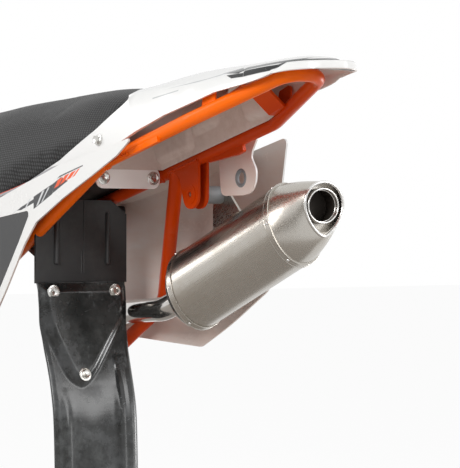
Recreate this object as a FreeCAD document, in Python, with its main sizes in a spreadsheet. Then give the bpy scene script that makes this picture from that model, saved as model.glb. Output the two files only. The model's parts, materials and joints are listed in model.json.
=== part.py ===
"""Tail unit of an off-road motorcycle: rear subframe, seat, rear fender, panels and silencer.

Millimetres and degrees. The origin is the centre of the front upper frame bolt, with
+X towards the tail, +Y to the rider's right and +Z up. The two rails and the tail loop
lie in one plane, the rail plane, which climbs rearwards from the bolt.
"""
import FreeCAD, Part
import math
import os
import Sketcher

V = FreeCAD.Vector
DOC = FreeCAD.newDocument("TailUnit")
SHEET = DOC.addObject("Spreadsheet::Sheet", "Sizes")
PARTS = []

SIZES = {
    # frame tubes
    "tube_dia": 20.0, "rail_half_width": 72.0, "rail_slope": 12.9, "rail_length": 447.0,
    "lug_radius": 18.0, "lug_width": 16.0, "frame_bolt_dia": 10.5,
    "loop_kink": 599.0, "loop_lift": 5.1, "loop_tail": 173.5, "loop_narrowing": 43.2,
    "kink_radius": 70.0, "loop_radius": 33.0,
    "brace_slope": 26.9, "brace_foot_x": 2.0, "brace_foot_z": -97.8,
    "foot_radius": 15.0, "foot_width": 14.0, "foot_bolt_dia": 8.5,
    "strut_dia": 22.0, "strut_top": 340.0, "strut_knee_x": 191.0, "strut_gap": 4.0,
    "strut_knee_z": -137.0, "strut_foot_x": 17.0, "strut_foot_out": 20.0, "strut_foot_z": -270.0,
    "strut_bend": 80.0, "cross_front": 60.0, "cross_rear": 300.0,
    # brackets
    "strap_place": 26.0, "strap_width": 36.0, "strap_gauge": 4.0, "strap_rise": 25.0,
    "strap_flat": 40.0, "strap_foot": 14.0, "strap_hole_dia": 7.0,
    "strip_gauge": 4.0, "strip_reach": 88.0,
    "clevis_top": 391.0, "clevis_drop": 52.0, "clevis_reach": 60.0, "clevis_eye_radius": 21.5,
    "ear_gauge": 4.5, "ear_gap": 11.0, "ear_pad": 15.0, "hanger_bolt_dia": 8.0,
    "plate_length": 113.0, "plate_height": 32.0, "plate_gauge": 3.0, "plate_drop": 6.0,
    "plate_bolt_pitch": 88.0, "plate_bolt_dia": 6.0, "head_dia": 20.0, "head_height": 4.0,
    # silencer
    "can_x": 405.0, "can_out": 53.0, "can_z": -70.0, "can_toe": 15.9, "can_climb": 27.7,
    "can_radius": 61.0, "can_front": -79.0, "can_rear": 132.0, "can_rake": 10.7,
    "band_width": 9.0, "band_proud": 1.2, "front_cap_depth": 20.0,
    "pipe_dia": 38.0, "pipe_wall": 1.5, "socket_depth": 40.0, "pipe_gap": 13.0,
    "outlet_x": 567.0, "outlet_out": 100.0, "outlet_z": 20.0, "outlet_yaw": -8.0,
    "outlet_radius": 33.0, "outlet_drop": 49.0, "outlet_recess": 16.0,
    "tail_pipe_dia": 52.0, "tail_pipe_wall": 2.0, "tail_pipe_depth": 38.0,
    "bush_dia": 27.0, "bush_length": 34.0, "hanger_gauge": 4.0,
    # plastic
    "shell_gauge": 3.0, "clearance": 0.3, "access_dia": 26.0,
}


class Size:
    """A number together with the sheet expression that gives it."""

    def __init__(self, number, text):
        self.number = float(number)
        self.text = text

    def _join(self, other, sign, number):
        return Size(number, "(%s %s %s)" % (self.text, sign, other.text))

    def __add__(self, other):
        other = as_size(other)
        return self._join(other, "+", self.number + other.number)

    def __sub__(self, other):
        other = as_size(other)
        return self._join(other, "-", self.number - other.number)

    def __mul__(self, other):
        other = as_size(other)
        return self._join(other, "*", self.number * other.number)

    def __truediv__(self, other):
        other = as_size(other)
        return self._join(other, "/", self.number / other.number)

    def __neg__(self):
        return Size(-self.number, "(0 - %s)" % self.text)

    def __float__(self):
        return self.number

    __radd__ = __add__

    def __rsub__(self, other):
        return as_size(other) - self

    __rmul__ = __mul__

    def sin(self):
        return Size(math.sin(math.radians(self.number)), "sin(%s)" % self.text)

    def cos(self):
        return Size(math.cos(math.radians(self.number)), "cos(%s)" % self.text)

    def tan(self):
        return Size(math.tan(math.radians(self.number)), "tan(%s)" % self.text)


def as_size(value):
    return value if isinstance(value, Size) else Size(value, "(%r)" % float(value))


def fill_sheet():
    """Writes the driving sizes into the sheet and returns one Size for each."""
    for row, (alias, value) in enumerate(SIZES.items(), 1):
        SHEET.set("A%d" % row, alias)
        SHEET.set("B%d" % row, str(value))
        SHEET.setAlias("B%d" % row, alias)
    DOC.recompute()
    return {alias: Size(SHEET.get(alias), "Sizes." + alias) for alias in SIZES}


class Named:
    """Gives each driving size as an attribute."""

    def __init__(self, sizes):
        self.__dict__.update(sizes)


D = Named(fill_sheet())
D.can_y = D.rail_half_width + D.can_out
D.outlet_y = D.rail_half_width + D.outlet_out
D.pipe_y = D.rail_half_width + D.pipe_gap + D.pipe_dia / 2
D.strut_knee_y = D.pipe_y + D.pipe_dia / 2 + D.strut_dia / 2 + D.strut_gap
D.strut_foot_y = D.rail_half_width + D.strut_foot_out


def bind(thing, prop, value):
    """Ties a property to the sheet."""
    thing.setExpression(prop, as_size(value).text)


def place(thing, x=0.0, y=0.0, z=0.0, turns=()):
    """Ties a placement to the sheet. Each turn is an axis letter and an angle, outermost first."""
    axes = {"x": "vector(1; 0; 0)", "y": "vector(0; 1; 0)", "z": "vector(0; 0; 1)"}
    spins = ["rotation(%s; %s)" % (axes[axis], as_size(angle).text) for axis, angle in turns]
    spin = " * ".join(spins) if spins else "rotation(vector(0; 0; 1); 0)"
    base = "vector(%s; %s; %s)" % tuple(as_size(v).text for v in (x, y, z))
    thing.setExpression("Placement", "placement(%s; %s)" % (base, spin))


def rail_plane(thing, along=0.0, across=0.0, over=0.0):
    """Lays a thing in the rail plane, moved along it, across it and square to it."""
    slope = D.rail_slope
    x = along * slope.cos() - over * slope.sin()
    z = along * slope.sin() + over * slope.cos()
    place(thing, x, across, z, [("y", -slope)])


def on_rail(along, over=0.0):
    """The row-frame X and Z of a place in the rail plane, as plain numbers."""
    slope = math.radians(float(D.rail_slope))
    along, over = float(along), float(over)
    return (along * math.cos(slope) - over * math.sin(slope),
            along * math.sin(slope) + over * math.cos(slope))


ACROSS = [("x", -90)]
TO_TAIL = [("y", 90)]


def tail_plane(thing, along=0.0, across=0.0, over=0.0):
    """Lays a thing in the tail plane, which starts at the loop's kink and climbs more steeply."""
    slope, rise = D.rail_slope, D.rail_slope + D.loop_lift
    x = D.loop_kink * slope.cos() + along * rise.cos() - over * rise.sin()
    z = D.loop_kink * slope.sin() + along * rise.sin() + over * rise.cos()
    place(thing, x, across, z, [("y", -rise)])


def on_tail(along, over=0.0):
    """The row-frame X and Z of a place in the tail plane, as plain numbers."""
    x, z = on_rail(D.loop_kink)
    rise = math.radians(float(D.rail_slope + D.loop_lift))
    along, over = float(along), float(over)
    return (x + along * math.cos(rise) - over * math.sin(rise),
            z + along * math.sin(rise) + over * math.cos(rise))


def loop_half(along):
    """Half the loop's width at a distance along the tail plane."""
    return D.rail_half_width - D.loop_narrowing * (along / D.loop_tail)


# Sketches and bodies

def new_body(name):
    thing = DOC.addObject("PartDesign::Body", name)
    thing.Label = name
    return thing


def sketch_on(owner, role, lift=0.0):
    """A sketch on one of the body's own planes, lifted off it along the plane's normal."""
    sketch = owner.newObject("Sketcher::SketchObject", owner.Name + "_outline")
    plane = [f for f in owner.Origin.OriginFeatures if f.Role == role][0]
    sketch.AttachmentSupport = [(plane, "")]
    sketch.MapMode = "FlatFace"
    bind(sketch, "AttachmentOffset.Base.z", lift)
    return sketch


def fix(sketch, geometry, end, x, y):
    """Fixes one point of a sketch to a place tied to the sheet."""
    for kind, value in (("DistanceX", as_size(x)), ("DistanceY", as_size(y))):
        number = sketch.addConstraint(
            Sketcher.Constraint(kind, -1, 1, geometry, end, value.number))
        sketch.setExpression("Constraints[%d]" % number, value.text)


def circle(sketch, x, y, radius):
    radius = as_size(radius)
    shape = Part.Circle(V(float(x), float(y), 0), V(0, 0, 1), radius.number)
    ring = sketch.addGeometry(shape, False)
    fix(sketch, ring, 3, x, y)
    number = sketch.addConstraint(Sketcher.Constraint("Radius", ring, radius.number))
    sketch.setExpression("Constraints[%d]" % number, radius.text)


def outline(sketch, corners, closed=True):
    """Straight lines from corner to corner. A corner is x, y and, where it is round, a radius."""
    count = len(corners)
    spots = [V(float(c[0]), float(c[1]), 0) for c in corners]
    radii = [as_size(c[2]) if len(c) > 2 else None for c in corners]
    if not closed:
        radii[0] = radii[-1] = None
    leave, reach, arcs = {}, {}, {}
    for i in range(count):
        if radii[i] is None:
            leave[i] = reach[i] = spots[i]
            continue
        back = (spots[i - 1] - spots[i]).normalize()
        ahead = (spots[(i + 1) % count] - spots[i]).normalize()
        half = back.getAngle(ahead) / 2
        run = radii[i].number / math.tan(half)
        reach[i], leave[i] = spots[i] + back * run, spots[i] + ahead * run
        middle = spots[i] + (back + ahead).normalize() * (radii[i].number / math.sin(half))
        arcs[i] = (middle, back.cross(ahead).z > 0)
    lines = {}
    for i in range(count if closed else count - 1):
        edge = Part.LineSegment(leave[i], reach[(i + 1) % count])
        lines[i] = sketch.addGeometry(edge, False)
    for i in range(count):
        before, after = lines.get((i - 1) % count if closed else i - 1), lines.get(i)
        if radii[i] is None:
            if before is not None and after is not None:
                sketch.addConstraint(Sketcher.Constraint("Coincident", before, 2, after, 1))
            fix(sketch, *((after, 1) if after is not None else (before, 2)), *corners[i][:2])
            continue
        middle, clockwise = arcs[i]
        start, end = reach[i] - middle, leave[i] - middle
        if clockwise:
            start, end = end, start
        first = math.atan2(start.y, start.x)
        last = math.atan2(end.y, end.x)
        ring = Part.Circle(middle, V(0, 0, 1), radii[i].number)
        arc = sketch.addGeometry(Part.ArcOfCircle(ring, first, last), False)
        near, far = (2, 1) if clockwise else (1, 2)
        sketch.addConstraint(Sketcher.Constraint("Tangent", before, 2, arc, near))
        sketch.addConstraint(Sketcher.Constraint("Tangent", arc, far, after, 1))
        number = sketch.addConstraint(Sketcher.Constraint("Radius", arc, radii[i].number))
        sketch.setExpression("Constraints[%d]" % number, radii[i].text)
        mark = sketch.addGeometry(Part.Point(spots[i]), True)
        fix(sketch, mark, 1, *corners[i][:2])
        sketch.addConstraint(Sketcher.Constraint("PointOnObject", mark, 1, before))
        sketch.addConstraint(Sketcher.Constraint("PointOnObject", mark, 1, after))


def pad(owner, sketch, length, both_sides=False, kind="PartDesign::Pad", reverse=False):
    """Pads or pockets a sketch."""
    feature = owner.newObject(kind, owner.Name + "_run")
    feature.Profile = sketch
    bind(feature, "Length", length)
    if both_sides:
        feature.SideType = "Symmetric"
    feature.Reversed = reverse
    return feature


def drill(owner, role, x, y, diameter, depth):
    """Cuts a round hole right through, on both sides of the plane."""
    sketch = sketch_on(owner, role)
    circle(sketch, x, y, diameter / 2)
    return pad(owner, sketch, depth, True, "PartDesign::Pocket")


def pipe(owner, profile, spine):
    feature = owner.newObject("PartDesign::AdditivePipe", owner.Name + "_sweep")
    feature.Profile = profile
    feature.Spine = spine
    return feature


def keep(thing, name):
    """Names a finished sub-part and puts it on the list of those written out."""
    thing.Label = name
    PARTS.append((name, thing))
    return thing


def cut(name, base, tool):
    thing = DOC.addObject("Part::Cut", name)
    thing.Base, thing.Tool = base, tool
    return thing


def fuse(name, pieces):
    thing = DOC.addObject("Part::MultiFuse", name)
    thing.Shapes = pieces
    return thing


def common(name, base, tool):
    thing = DOC.addObject("Part::Common", name)
    thing.Base, thing.Tool = base, tool
    return thing


def cylinder(name, radius, height):
    thing = DOC.addObject("Part::Cylinder", name)
    bind(thing, "Radius", radius)
    bind(thing, "Height", height)
    return thing


def box(name, length, width, height):
    thing = DOC.addObject("Part::Box", name)
    for prop, value in (("Length", length), ("Width", width), ("Height", height)):
        bind(thing, prop, value)
    return thing


def feature(name, shape, placement=None):
    thing = DOC.addObject("Part::Feature", name)
    thing.Shape = shape
    if placement is not None:
        thing.Placement = placement
    return thing


# Free forms

def bent_wire(points, radii):
    """Straight runs joined by tangent arcs, one radius for each corner."""
    points = [V(*(float(c) for c in p)) for p in points]
    edges, last = [], points[0]
    for before, corner, after, radius in zip(points, points[1:], points[2:], radii):
        back, ahead = (before - corner).normalize(), (after - corner).normalize()
        half = back.getAngle(ahead) / 2
        run = float(radius) / math.tan(half)
        first, end = corner + back * run, corner + ahead * run
        toward = (back + ahead).normalize()
        middle = corner + toward * (float(radius) / math.sin(half) - float(radius))
        edges += [Part.makeLine(last, first), Part.Arc(first, middle, end).toShape()]
        last = end
    edges.append(Part.makeLine(last, points[-1]))
    return Part.Wire(edges)


def swept(wire, radius):
    """A round solid along a wire."""
    edge = wire.Edges[0]
    start = edge.valueAt(edge.FirstParameter)
    away = edge.tangentAt(edge.FirstParameter)
    ring = Part.Wire(Part.makeCircle(float(radius), start, away))
    return wire.makePipeShell([ring], True, False)


def closed_curve(points):
    curve = Part.BSplineCurve()
    curve.interpolate([V(*p) for p in points], PeriodicFlag=True)
    return Part.Wire(curve.toShape())


def polygon(points):
    return Part.makePolygon([V(*p) for p in points] + [V(*points[0])])


# Frame

half_tube = D.tube_dia / 2


def main_rail(name, side):
    """A straight tube with a forged eye at its front end."""
    rail = new_body(name)
    width = D.rail_half_width * side
    eye = sketch_on(rail, "XZ_Plane", -width)
    reach = D.lug_radius * 3
    outline(eye, [(-D.lug_radius, -D.lug_radius, D.lug_radius * 0.99), (D.lug_radius * 0.3, -D.lug_radius, 12),
                  (reach, -half_tube), (reach, half_tube),
                  (D.lug_radius * 0.3, D.lug_radius, 12), (-D.lug_radius, D.lug_radius, D.lug_radius * 0.99)])
    pad(rail, eye, D.lug_width, True)
    tube = sketch_on(rail, "YZ_Plane", D.lug_radius * 1.6)
    circle(tube, width, 0, half_tube)
    pad(rail, tube, D.rail_length - D.lug_radius * 1.6)
    drill(rail, "XZ_Plane", 0, 0, D.frame_bolt_dia, (D.rail_half_width + D.lug_width) * 2)
    rail_plane(rail)
    return keep(rail, name)


left_rail = main_rail("left_main_rail", -1)
right_rail = main_rail("right_main_rail", 1)


def tail_loop():
    """One tube bent round the tail, from the left rail's end up and round to the right's."""
    start, kink = on_rail(D.rail_length), on_rail(D.loop_kink)
    end = on_tail(D.loop_tail)
    wide, narrow = float(D.rail_half_width), float(loop_half(D.loop_tail))
    left = [V(start[0], -wide, start[1]), V(kink[0], -wide, kink[1]), V(end[0], -narrow, end[1])]
    right = [V(p.x, -p.y, p.z) for p in reversed(left)]
    route = bent_wire(left + right, [D.kink_radius, D.loop_radius, D.loop_radius, D.kink_radius])
    return keep(feature("tail_loop", swept(route, half_tube)), "tail_loop")


loop = tail_loop()


def cross_tube(name, along):
    """A tube between the rails, its ends shaped to seat on them."""
    bar = cylinder(name + "_bar", half_tube, D.rail_half_width * 2)
    x = along * D.rail_slope.cos()
    z = along * D.rail_slope.sin()
    place(bar, x, -D.rail_half_width, z, [("x", -90)])
    return keep(cut(name, cut(name + "_left_end", bar, left_rail), right_rail), name)


cross_tube("front_cross_tube", D.cross_front)
rear_cross = cross_tube("rear_cross_tube", D.cross_rear)


def left_brace():
    """The lower left tube, from the frame's lower bolt up to the rail."""
    slope = D.brace_slope
    to_rail = ((D.brace_foot_x * D.rail_slope.tan() - D.brace_foot_z)
               / (slope.sin() - slope.cos() * D.rail_slope.tan()))
    brace = new_body("left_brace_tube")
    ring = sketch_on(brace, "YZ_Plane", D.foot_radius * 0.6)
    circle(ring, 0, 0, half_tube)
    pad(brace, ring, to_rail - D.foot_radius * 0.6)
    eye = sketch_on(brace, "XZ_Plane")
    circle(eye, 0, 0, D.foot_radius)
    pad(brace, eye, D.foot_width, True)
    drill(brace, "XZ_Plane", 0, 0, D.foot_bolt_dia, D.foot_width * 2)
    place(brace, D.brace_foot_x, -D.rail_half_width, D.brace_foot_z, [("y", -slope)])
    seated = cut("left_brace_seated", brace, left_rail)
    fitted = cut("left_brace_fitted", seated, rear_cross)
    return keep(cut("left_brace", fitted, loop), "left_brace")


brace = left_brace()


def strut_points():
    """The strut's route. It ends inside the eye, short of the bolt hole."""
    x, z = on_rail(D.strut_top)
    knee = V(*(float(c) for c in (D.strut_knee_x, D.strut_knee_y, D.strut_knee_z)))
    foot = V(*(float(c) for c in (D.strut_foot_x, D.strut_foot_y, D.strut_foot_z)))
    foot += (knee - foot).normalize() * float(D.foot_radius) * 0.6
    return [(x, float(D.rail_half_width), z), knee, foot]


def right_strut():
    """The lower right tube. It bows outwards, round the link pipe, to the lower bolt."""
    tube = feature("right_strut_tube", swept(bent_wire(strut_points(), [D.strut_bend]), D.strut_dia / 2))
    eye = cylinder("right_strut_eye", D.foot_radius, D.foot_width)
    place(eye, D.strut_foot_x, D.strut_foot_y - D.foot_width / 2, D.strut_foot_z, [("x", -90)])
    hole = cylinder("right_strut_hole", D.foot_bolt_dia / 2, D.foot_width * 3)
    place(hole, D.strut_foot_x, D.strut_foot_y - D.foot_width * 1.5, D.strut_foot_z, [("x", -90)])
    whole = fuse("right_strut_whole", [tube, eye])
    fitted = cut("right_strut_fitted", whole, right_rail)
    seated = cut("right_strut_seated", fitted, rear_cross)
    return keep(cut("right_strut", seated, hole), "right_strut")


strut = right_strut()


def joint_strip():
    """The flat strip along the left weld, where the loop meets the rail and the brace."""
    strip = box("joint_strip_bar", D.strip_reach, D.strip_gauge, half_tube * 0.8)
    rail_plane(strip, D.rail_length - 10, -D.rail_half_width - half_tube, -half_tube * 1.2)
    fitted = cut("joint_strip_fitted", strip, loop)
    seated = cut("joint_strip_seated", fitted, brace)
    return keep(cut("left_joint_strip", seated, left_rail), "left_joint_strip")


joint_strip()


def loop_strap():
    """A bent strap across the loop. Its raised middle carries the fender."""
    strap = new_body("loop_cross_strap_bend")
    side = sketch_on(strap, "YZ_Plane")
    half = loop_half(D.strap_place + D.strap_width)
    foot, flat, rise, gauge = half - D.strap_foot, D.strap_flat / 2, D.strap_rise, D.strap_gauge
    outline(side, [(-half, 0), (-foot, 0), (-flat, rise), (flat, rise), (foot, 0), (half, 0),
                   (half, gauge), (foot + 2, gauge), (flat + 2, rise + gauge),
                   (-flat - 2, rise + gauge), (-foot - 2, gauge), (-half, gauge)])
    pad(strap, side, D.strap_width)
    tail_plane(strap, D.strap_place)
    return keep(cut("loop_cross_strap", strap, loop), "loop_cross_strap")


strap = loop_strap()


# Silencer bracket

def clevis():
    """A folded bracket under the right rail. Its two ears hold the silencer's bush."""
    slope, eye, reach = D.rail_slope, D.clevis_eye_radius, D.clevis_reach
    pitch = D.ear_gap + D.ear_gauge
    low = -D.clevis_drop - eye
    ears = []
    for side in (-1, 1):
        ear = new_body("clevis_ear_%s" % ("left" if side < 0 else "right"))
        face = sketch_on(ear, "XZ_Plane", -pitch / 2 * side)
        outline(face, [(-reach, -reach * slope.tan()), (eye, eye * slope.tan()),
                       (eye, low, eye * 0.95), (-eye * 0.65, low, eye * 0.85), (-reach / 2, -reach * 0.4, 15)])
        pad(ear, face, D.ear_gauge, True)
        ears.append(ear)
    web = box("clevis_web", reach * 0.4, pitch, D.ear_gauge)
    place(web, -reach / 2, -pitch / 2, -half_tube - D.ear_gauge - reach * 0.2)
    boss = cylinder("clevis_boss", D.ear_pad, 1.0)
    place(boss, 0, -pitch / 2 - D.ear_gauge / 2 - 0.9, -D.clevis_drop, ACROSS)
    bore = cylinder("clevis_bore", (D.hanger_bolt_dia + 0.5) / 2, pitch * 4)
    place(bore, 0, -pitch * 2, -D.clevis_drop, ACROSS)
    whole = cut("clevis_drilled", fuse("clevis_whole", ears + [web, boss]), bore)
    place(whole, D.clevis_top * slope.cos(), D.rail_half_width, D.clevis_top * slope.sin())
    fitted = cut("silencer_clevis_fitted", whole, right_rail)
    apart = cut("silencer_clevis_apart", fitted, strut)
    return keep(cut("silencer_clevis", apart, loop), "silencer_clevis")


bracket = clevis()


# Silencer

def silencer_frame(thing):
    """Lays a thing in the silencer's own frame, +X along the can towards the tail."""
    place(thing, D.can_x, D.can_y, D.can_z, [("z", D.can_toe), ("y", -D.can_climb)])


CAN = (FreeCAD.Placement(V(float(D.can_x), float(D.can_y), float(D.can_z)), FreeCAD.Rotation())
       * FreeCAD.Placement(V(), FreeCAD.Rotation(V(0, 0, 1), float(D.can_toe)))
       * FreeCAD.Placement(V(), FreeCAD.Rotation(V(0, -1, 0), float(D.can_climb))))


def raked_slab(name, start, end):
    """A slab between two raked planes, which cut the can's ends more upright than square."""
    slab = new_body(name)
    side = sketch_on(slab, "XZ_Plane")
    high = D.can_radius * 1.4
    lean = high * D.can_rake.tan()
    outline(side, [(start - lean, -high), (end - lean, -high), (end + lean, high), (start + lean, high)])
    pad(slab, side, high * 2, True)
    return slab


def can_piece(name, radius, start, end):
    """A round length of the silencer between two raked planes."""
    reach = D.can_radius * 4
    rod = cylinder(name + "_rod", radius, reach * 2)
    place(rod, -reach, 0, 0, [("y", 90)])
    piece = common(name, rod, raked_slab(name + "_slab", start, end))
    silencer_frame(piece)
    return keep(piece, name)


can_piece("silencer_can", D.can_radius, D.can_front, D.can_rear - D.band_width)
can_piece("silencer_front_band", D.can_radius + D.band_proud, D.can_front - D.band_width, D.can_front)
can_piece("silencer_rear_band", D.can_radius + D.band_proud, D.can_rear - D.band_width, D.can_rear)


def raked_ring(radius, along):
    """The raked section of the can's cylinder at a place along it, in the silencer's frame."""
    rake = math.tan(math.radians(float(D.can_rake)))
    turns = [math.radians(a) for a in range(0, 360, 15)]
    return closed_curve([(float(along) + float(radius) * math.sin(a) * rake,
                          float(radius) * math.cos(a), float(radius) * math.sin(a)) for a in turns])


def front_cap():
    start = D.can_front - D.band_width
    rings = [raked_ring(D.can_radius - 1.0, start), raked_ring(D.can_radius * 0.86, start - D.front_cap_depth * 0.6),
             raked_ring(D.pipe_dia * 0.62, start - D.front_cap_depth)]
    cap = feature("silencer_front_cap", Part.makeLoft(rings, True, False), CAN)
    return keep(cap, "silencer_front_cap")


front_end = front_cap()

OUTLET = (FreeCAD.Placement(V(float(D.outlet_x), float(D.outlet_y), float(D.outlet_z)), FreeCAD.Rotation())
          * FreeCAD.Placement(V(), FreeCAD.Rotation(V(0, 0, 1), float(D.outlet_yaw))))


def teardrop(radius, drop, back=0.0):
    """A round ring drawn down to a point, facing +X, in the outlet's frame."""
    radius, drop, back = float(radius), float(drop), float(back)
    points = []
    for step in range(24):
        a = math.radians(90 + step * 15)
        y, z = radius * math.cos(a), radius * math.sin(a)
        if z < 0:
            sharp = (-z / radius) ** 2.2
            z -= (drop - radius) * sharp
            y *= 1 - 0.35 * sharp * (1 - abs(y) / radius)
        points.append((-back, y, z))
    return points


def end_cap():
    """The slash-cut end cap: a raked round rim drawn out to an upright teardrop outlet."""
    into_can = CAN.inverse() * OUTLET
    rim = raked_ring(D.can_radius - 1.0, D.can_rear)
    mouth = [into_can.multVec(V(*p)) for p in teardrop(D.outlet_radius, D.outlet_drop)]
    centre = into_can.multVec(V(0, 0, 0))
    start = min(range(24), key=lambda i: abs(math.atan2(mouth[i].z - centre.z, mouth[i].y - centre.y)))
    around = [mouth[(start - i) % 24] for i in range(24)]
    if around[1].z < around[0].z:
        around = [mouth[(start + i) % 24] for i in range(24)]
    share, swell = 0.36, 1.05
    middle = []
    for spot, step in zip(around, range(24)):
        a = math.radians(step * 15)
        y, z = (float(D.can_radius) - 1) * math.cos(a), (float(D.can_radius) - 1) * math.sin(a)
        x = float(D.can_rear) + z * math.tan(math.radians(float(D.can_rake)))
        middle.append((x + (spot.x - x) * share,
                       centre.y * share + (y + (spot.y - centre.y - y) * share) * swell,
                       centre.z * share + (z + (spot.z - centre.z - z) * share) * swell))
    solid = Part.makeLoft([rim, closed_curve(middle), closed_curve([tuple(p) for p in around])], True, False)
    recess = Part.Face(closed_curve(teardrop(D.outlet_radius - 3, D.outlet_drop - 6, D.outlet_recess)))
    hollow = recess.extrude(V(float(D.outlet_recess) + 5, 0, 0))
    bore = Part.makeCylinder(float(D.tail_pipe_dia) / 2, float(D.tail_pipe_depth),
                             V(-float(D.tail_pipe_depth), 0, -3), V(1, 0, 0))
    for tool in (hollow, bore):
        tool.Placement = into_can * tool.Placement
        solid = solid.cut(tool)
    return keep(feature("silencer_end_cap", solid, CAN), "silencer_end_cap")


end_cap()


def outlet_tube():
    depth = float(D.tail_pipe_depth)
    outer = Part.makeCylinder(float(D.tail_pipe_dia) / 2, depth - 2, V(-depth, 0, -3), V(1, 0, 0))
    inner = Part.makeCylinder(float(D.tail_pipe_dia) / 2 - float(D.tail_pipe_wall), depth,
                              V(3 - depth, 0, -3), V(1, 0, 0))
    return keep(feature("silencer_outlet_tube", outer.cut(inner), OUTLET), "silencer_outlet_tube")


outlet_tube()


def pipe_ends():
    """The last corner of the link pipe's route, clear of the flap's edge, and its front end."""
    return [V(140, float(D.pipe_y), -150), V(-30, float(D.pipe_y) - 8, -176)]


def link_pipe():
    """The pipe that brings the gas to the silencer, ending in a slip joint at the front."""
    start = CAN.multVec(V(float(D.can_front - D.band_width - D.front_cap_depth), 0, 0))
    along = CAN.Rotation.multVec(V(-1, 0, 0))
    points = [start, start + along * 45] + pipe_ends()
    wire = bent_wire(points, [70, 70])
    solid = swept(wire, float(D.pipe_dia) / 2)
    hollow = swept(wire, float(D.pipe_dia) / 2 - float(D.pipe_wall))
    front, onward = points[-1], (points[-2] - points[-1]).normalize()
    wall, reach = float(D.pipe_wall), float(D.socket_depth)
    bore = float(D.pipe_dia) / 2 + float(D.clearance)
    flare = Part.makeCylinder(bore + wall, reach + wall * 2, front, onward)
    room = Part.makeCylinder(bore, reach, front, onward)
    seated = solid.cut(front_end.Shape).fuse(flare).cut(hollow).cut(room)
    return keep(feature("link_pipe", seated), "link_pipe")


link_pipe()


def pipe_clamp():
    """The band that closes the slip joint at the link pipe's front end."""
    corner, front = pipe_ends()
    along = (corner - front).normalize()
    start = front + along * 4
    bore = float(D.pipe_dia) / 2 + float(D.pipe_wall) + float(D.clearance) * 2
    ring = Part.makeCylinder(bore + 2.5, 16, start, along)
    lug = Part.makeBox(14, 12, 30, V(start.x + 1, start.y - 6, start.z - 4))
    whole = ring.fuse(lug).cut(Part.makeCylinder(bore, 40, start - along * 10, along))
    slot = Part.makeBox(30, 3, 60, V(start.x - 8, start.y - 1.5, start.z))
    whole = whole.cut(slot)
    return keep(feature("link_pipe_clamp", whole.Solids[0] if len(whole.Solids) == 1 else whole),
                "link_pipe_clamp")


# Silencer hanger

def hanger():
    """The plate welded on the can, its eye on the rubber bush that the bracket carries."""
    x, z = on_rail(D.clevis_top)
    z -= float(D.clevis_drop)
    near = D.rail_half_width + D.ear_gap / 2 + D.ear_gauge
    bush = cylinder("bush_round", D.bush_dia / 2, D.bush_length)
    hole = cylinder("bush_hole", D.hanger_bolt_dia / 2, D.bush_length * 3)
    place(bush, x, near, z, [("x", -90)])
    place(hole, x, near - D.bush_length, z, [("x", -90)])
    keep(cut("silencer_bush", bush, hole), "silencer_bush")
    plate = new_body("hanger_plate")
    face = sketch_on(plate, "XZ_Plane")
    outline(face, [(-17.7, 10.5, 10), (17, 10.5, 5), (53.7, -26.4, 3), (48.5, -35.4), (48.5, -80), (-17.7, -95)])
    pad(plate, face, D.hanger_gauge, reverse=True)
    drill(plate, "XZ_Plane", 0, 0, D.hanger_bolt_dia + 0.5, D.hanger_gauge * 4)
    place(plate, x, near + D.bush_length, z)
    can = cylinder("hanger_can", D.can_radius, D.can_radius * 8)
    place(can, D.can_x, D.can_y, D.can_z,
          [("z", D.can_toe), ("y", -D.can_climb), ("y", 90)])
    back = cylinder("hanger_can_front", D.can_radius, D.can_radius * 8)
    place(back, D.can_x, D.can_y, D.can_z,
          [("z", D.can_toe), ("y", -D.can_climb), ("y", -90)])
    trimmed = cut("hanger_trimmed", plate, fuse("hanger_can_both", [can, back]))
    keep(trimmed, "silencer_hanger")
    bolt = cylinder("hanger_bolt_shank", D.hanger_bolt_dia / 2, D.bush_length + D.hanger_gauge + 24)
    place(bolt, x, near - D.ear_gauge - D.ear_gap - D.ear_gauge + 1, z, [("x", -90)])
    head = cylinder("hanger_bolt_head", D.hanger_bolt_dia, 6)
    place(head, x, near + D.bush_length + D.hanger_gauge, z, [("x", -90)])
    keep(fuse("hanger_bolt", [bolt, head]), "hanger_bolt")


link_clamp = pipe_clamp()
hanger()


# Fender mount plate and its bolts

def mount_plate():
    """The white bar across the tail, behind the rear cross tube."""
    plate = new_body("fender_mount_plate")
    x, z = on_rail(D.cross_rear)
    face = sketch_on(plate, "YZ_Plane")
    half, high = D.plate_length / 2, D.plate_height / 2
    outline(face, [(-half, -high, high * 0.8), (half, -high, high * 0.8),
                   (half, high, high * 0.8), (-half, high, high * 0.8)])
    pad(plate, face, D.plate_gauge)
    for side in (-1, 1):
        drill(plate, "YZ_Plane", D.plate_bolt_pitch / 2 * side, 0, D.plate_bolt_dia, D.plate_gauge * 3)
    near = D.cross_rear * D.rail_slope.cos() + half_tube + D.clearance
    level = D.cross_rear * D.rail_slope.sin() - D.plate_drop
    place(plate, near, 0, level)
    keep(plate, "fender_mount_plate")
    bolts = []
    for side in (-1, 1):
        shank = cylinder("plate_shank", D.plate_bolt_dia / 2, D.plate_gauge + 1)
        place(shank, near, D.plate_bolt_pitch / 2 * side, level, [("y", 90)])
        head = cylinder("plate_head", D.head_dia / 2, D.head_height)
        place(head, near + D.plate_gauge, D.plate_bolt_pitch / 2 * side, level, [("y", 90)])
        bolts += [shank, head]
    keep(fuse("plate_bolts", bolts), "plate_bolts")


mount_plate()


# Rear fender

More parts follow.
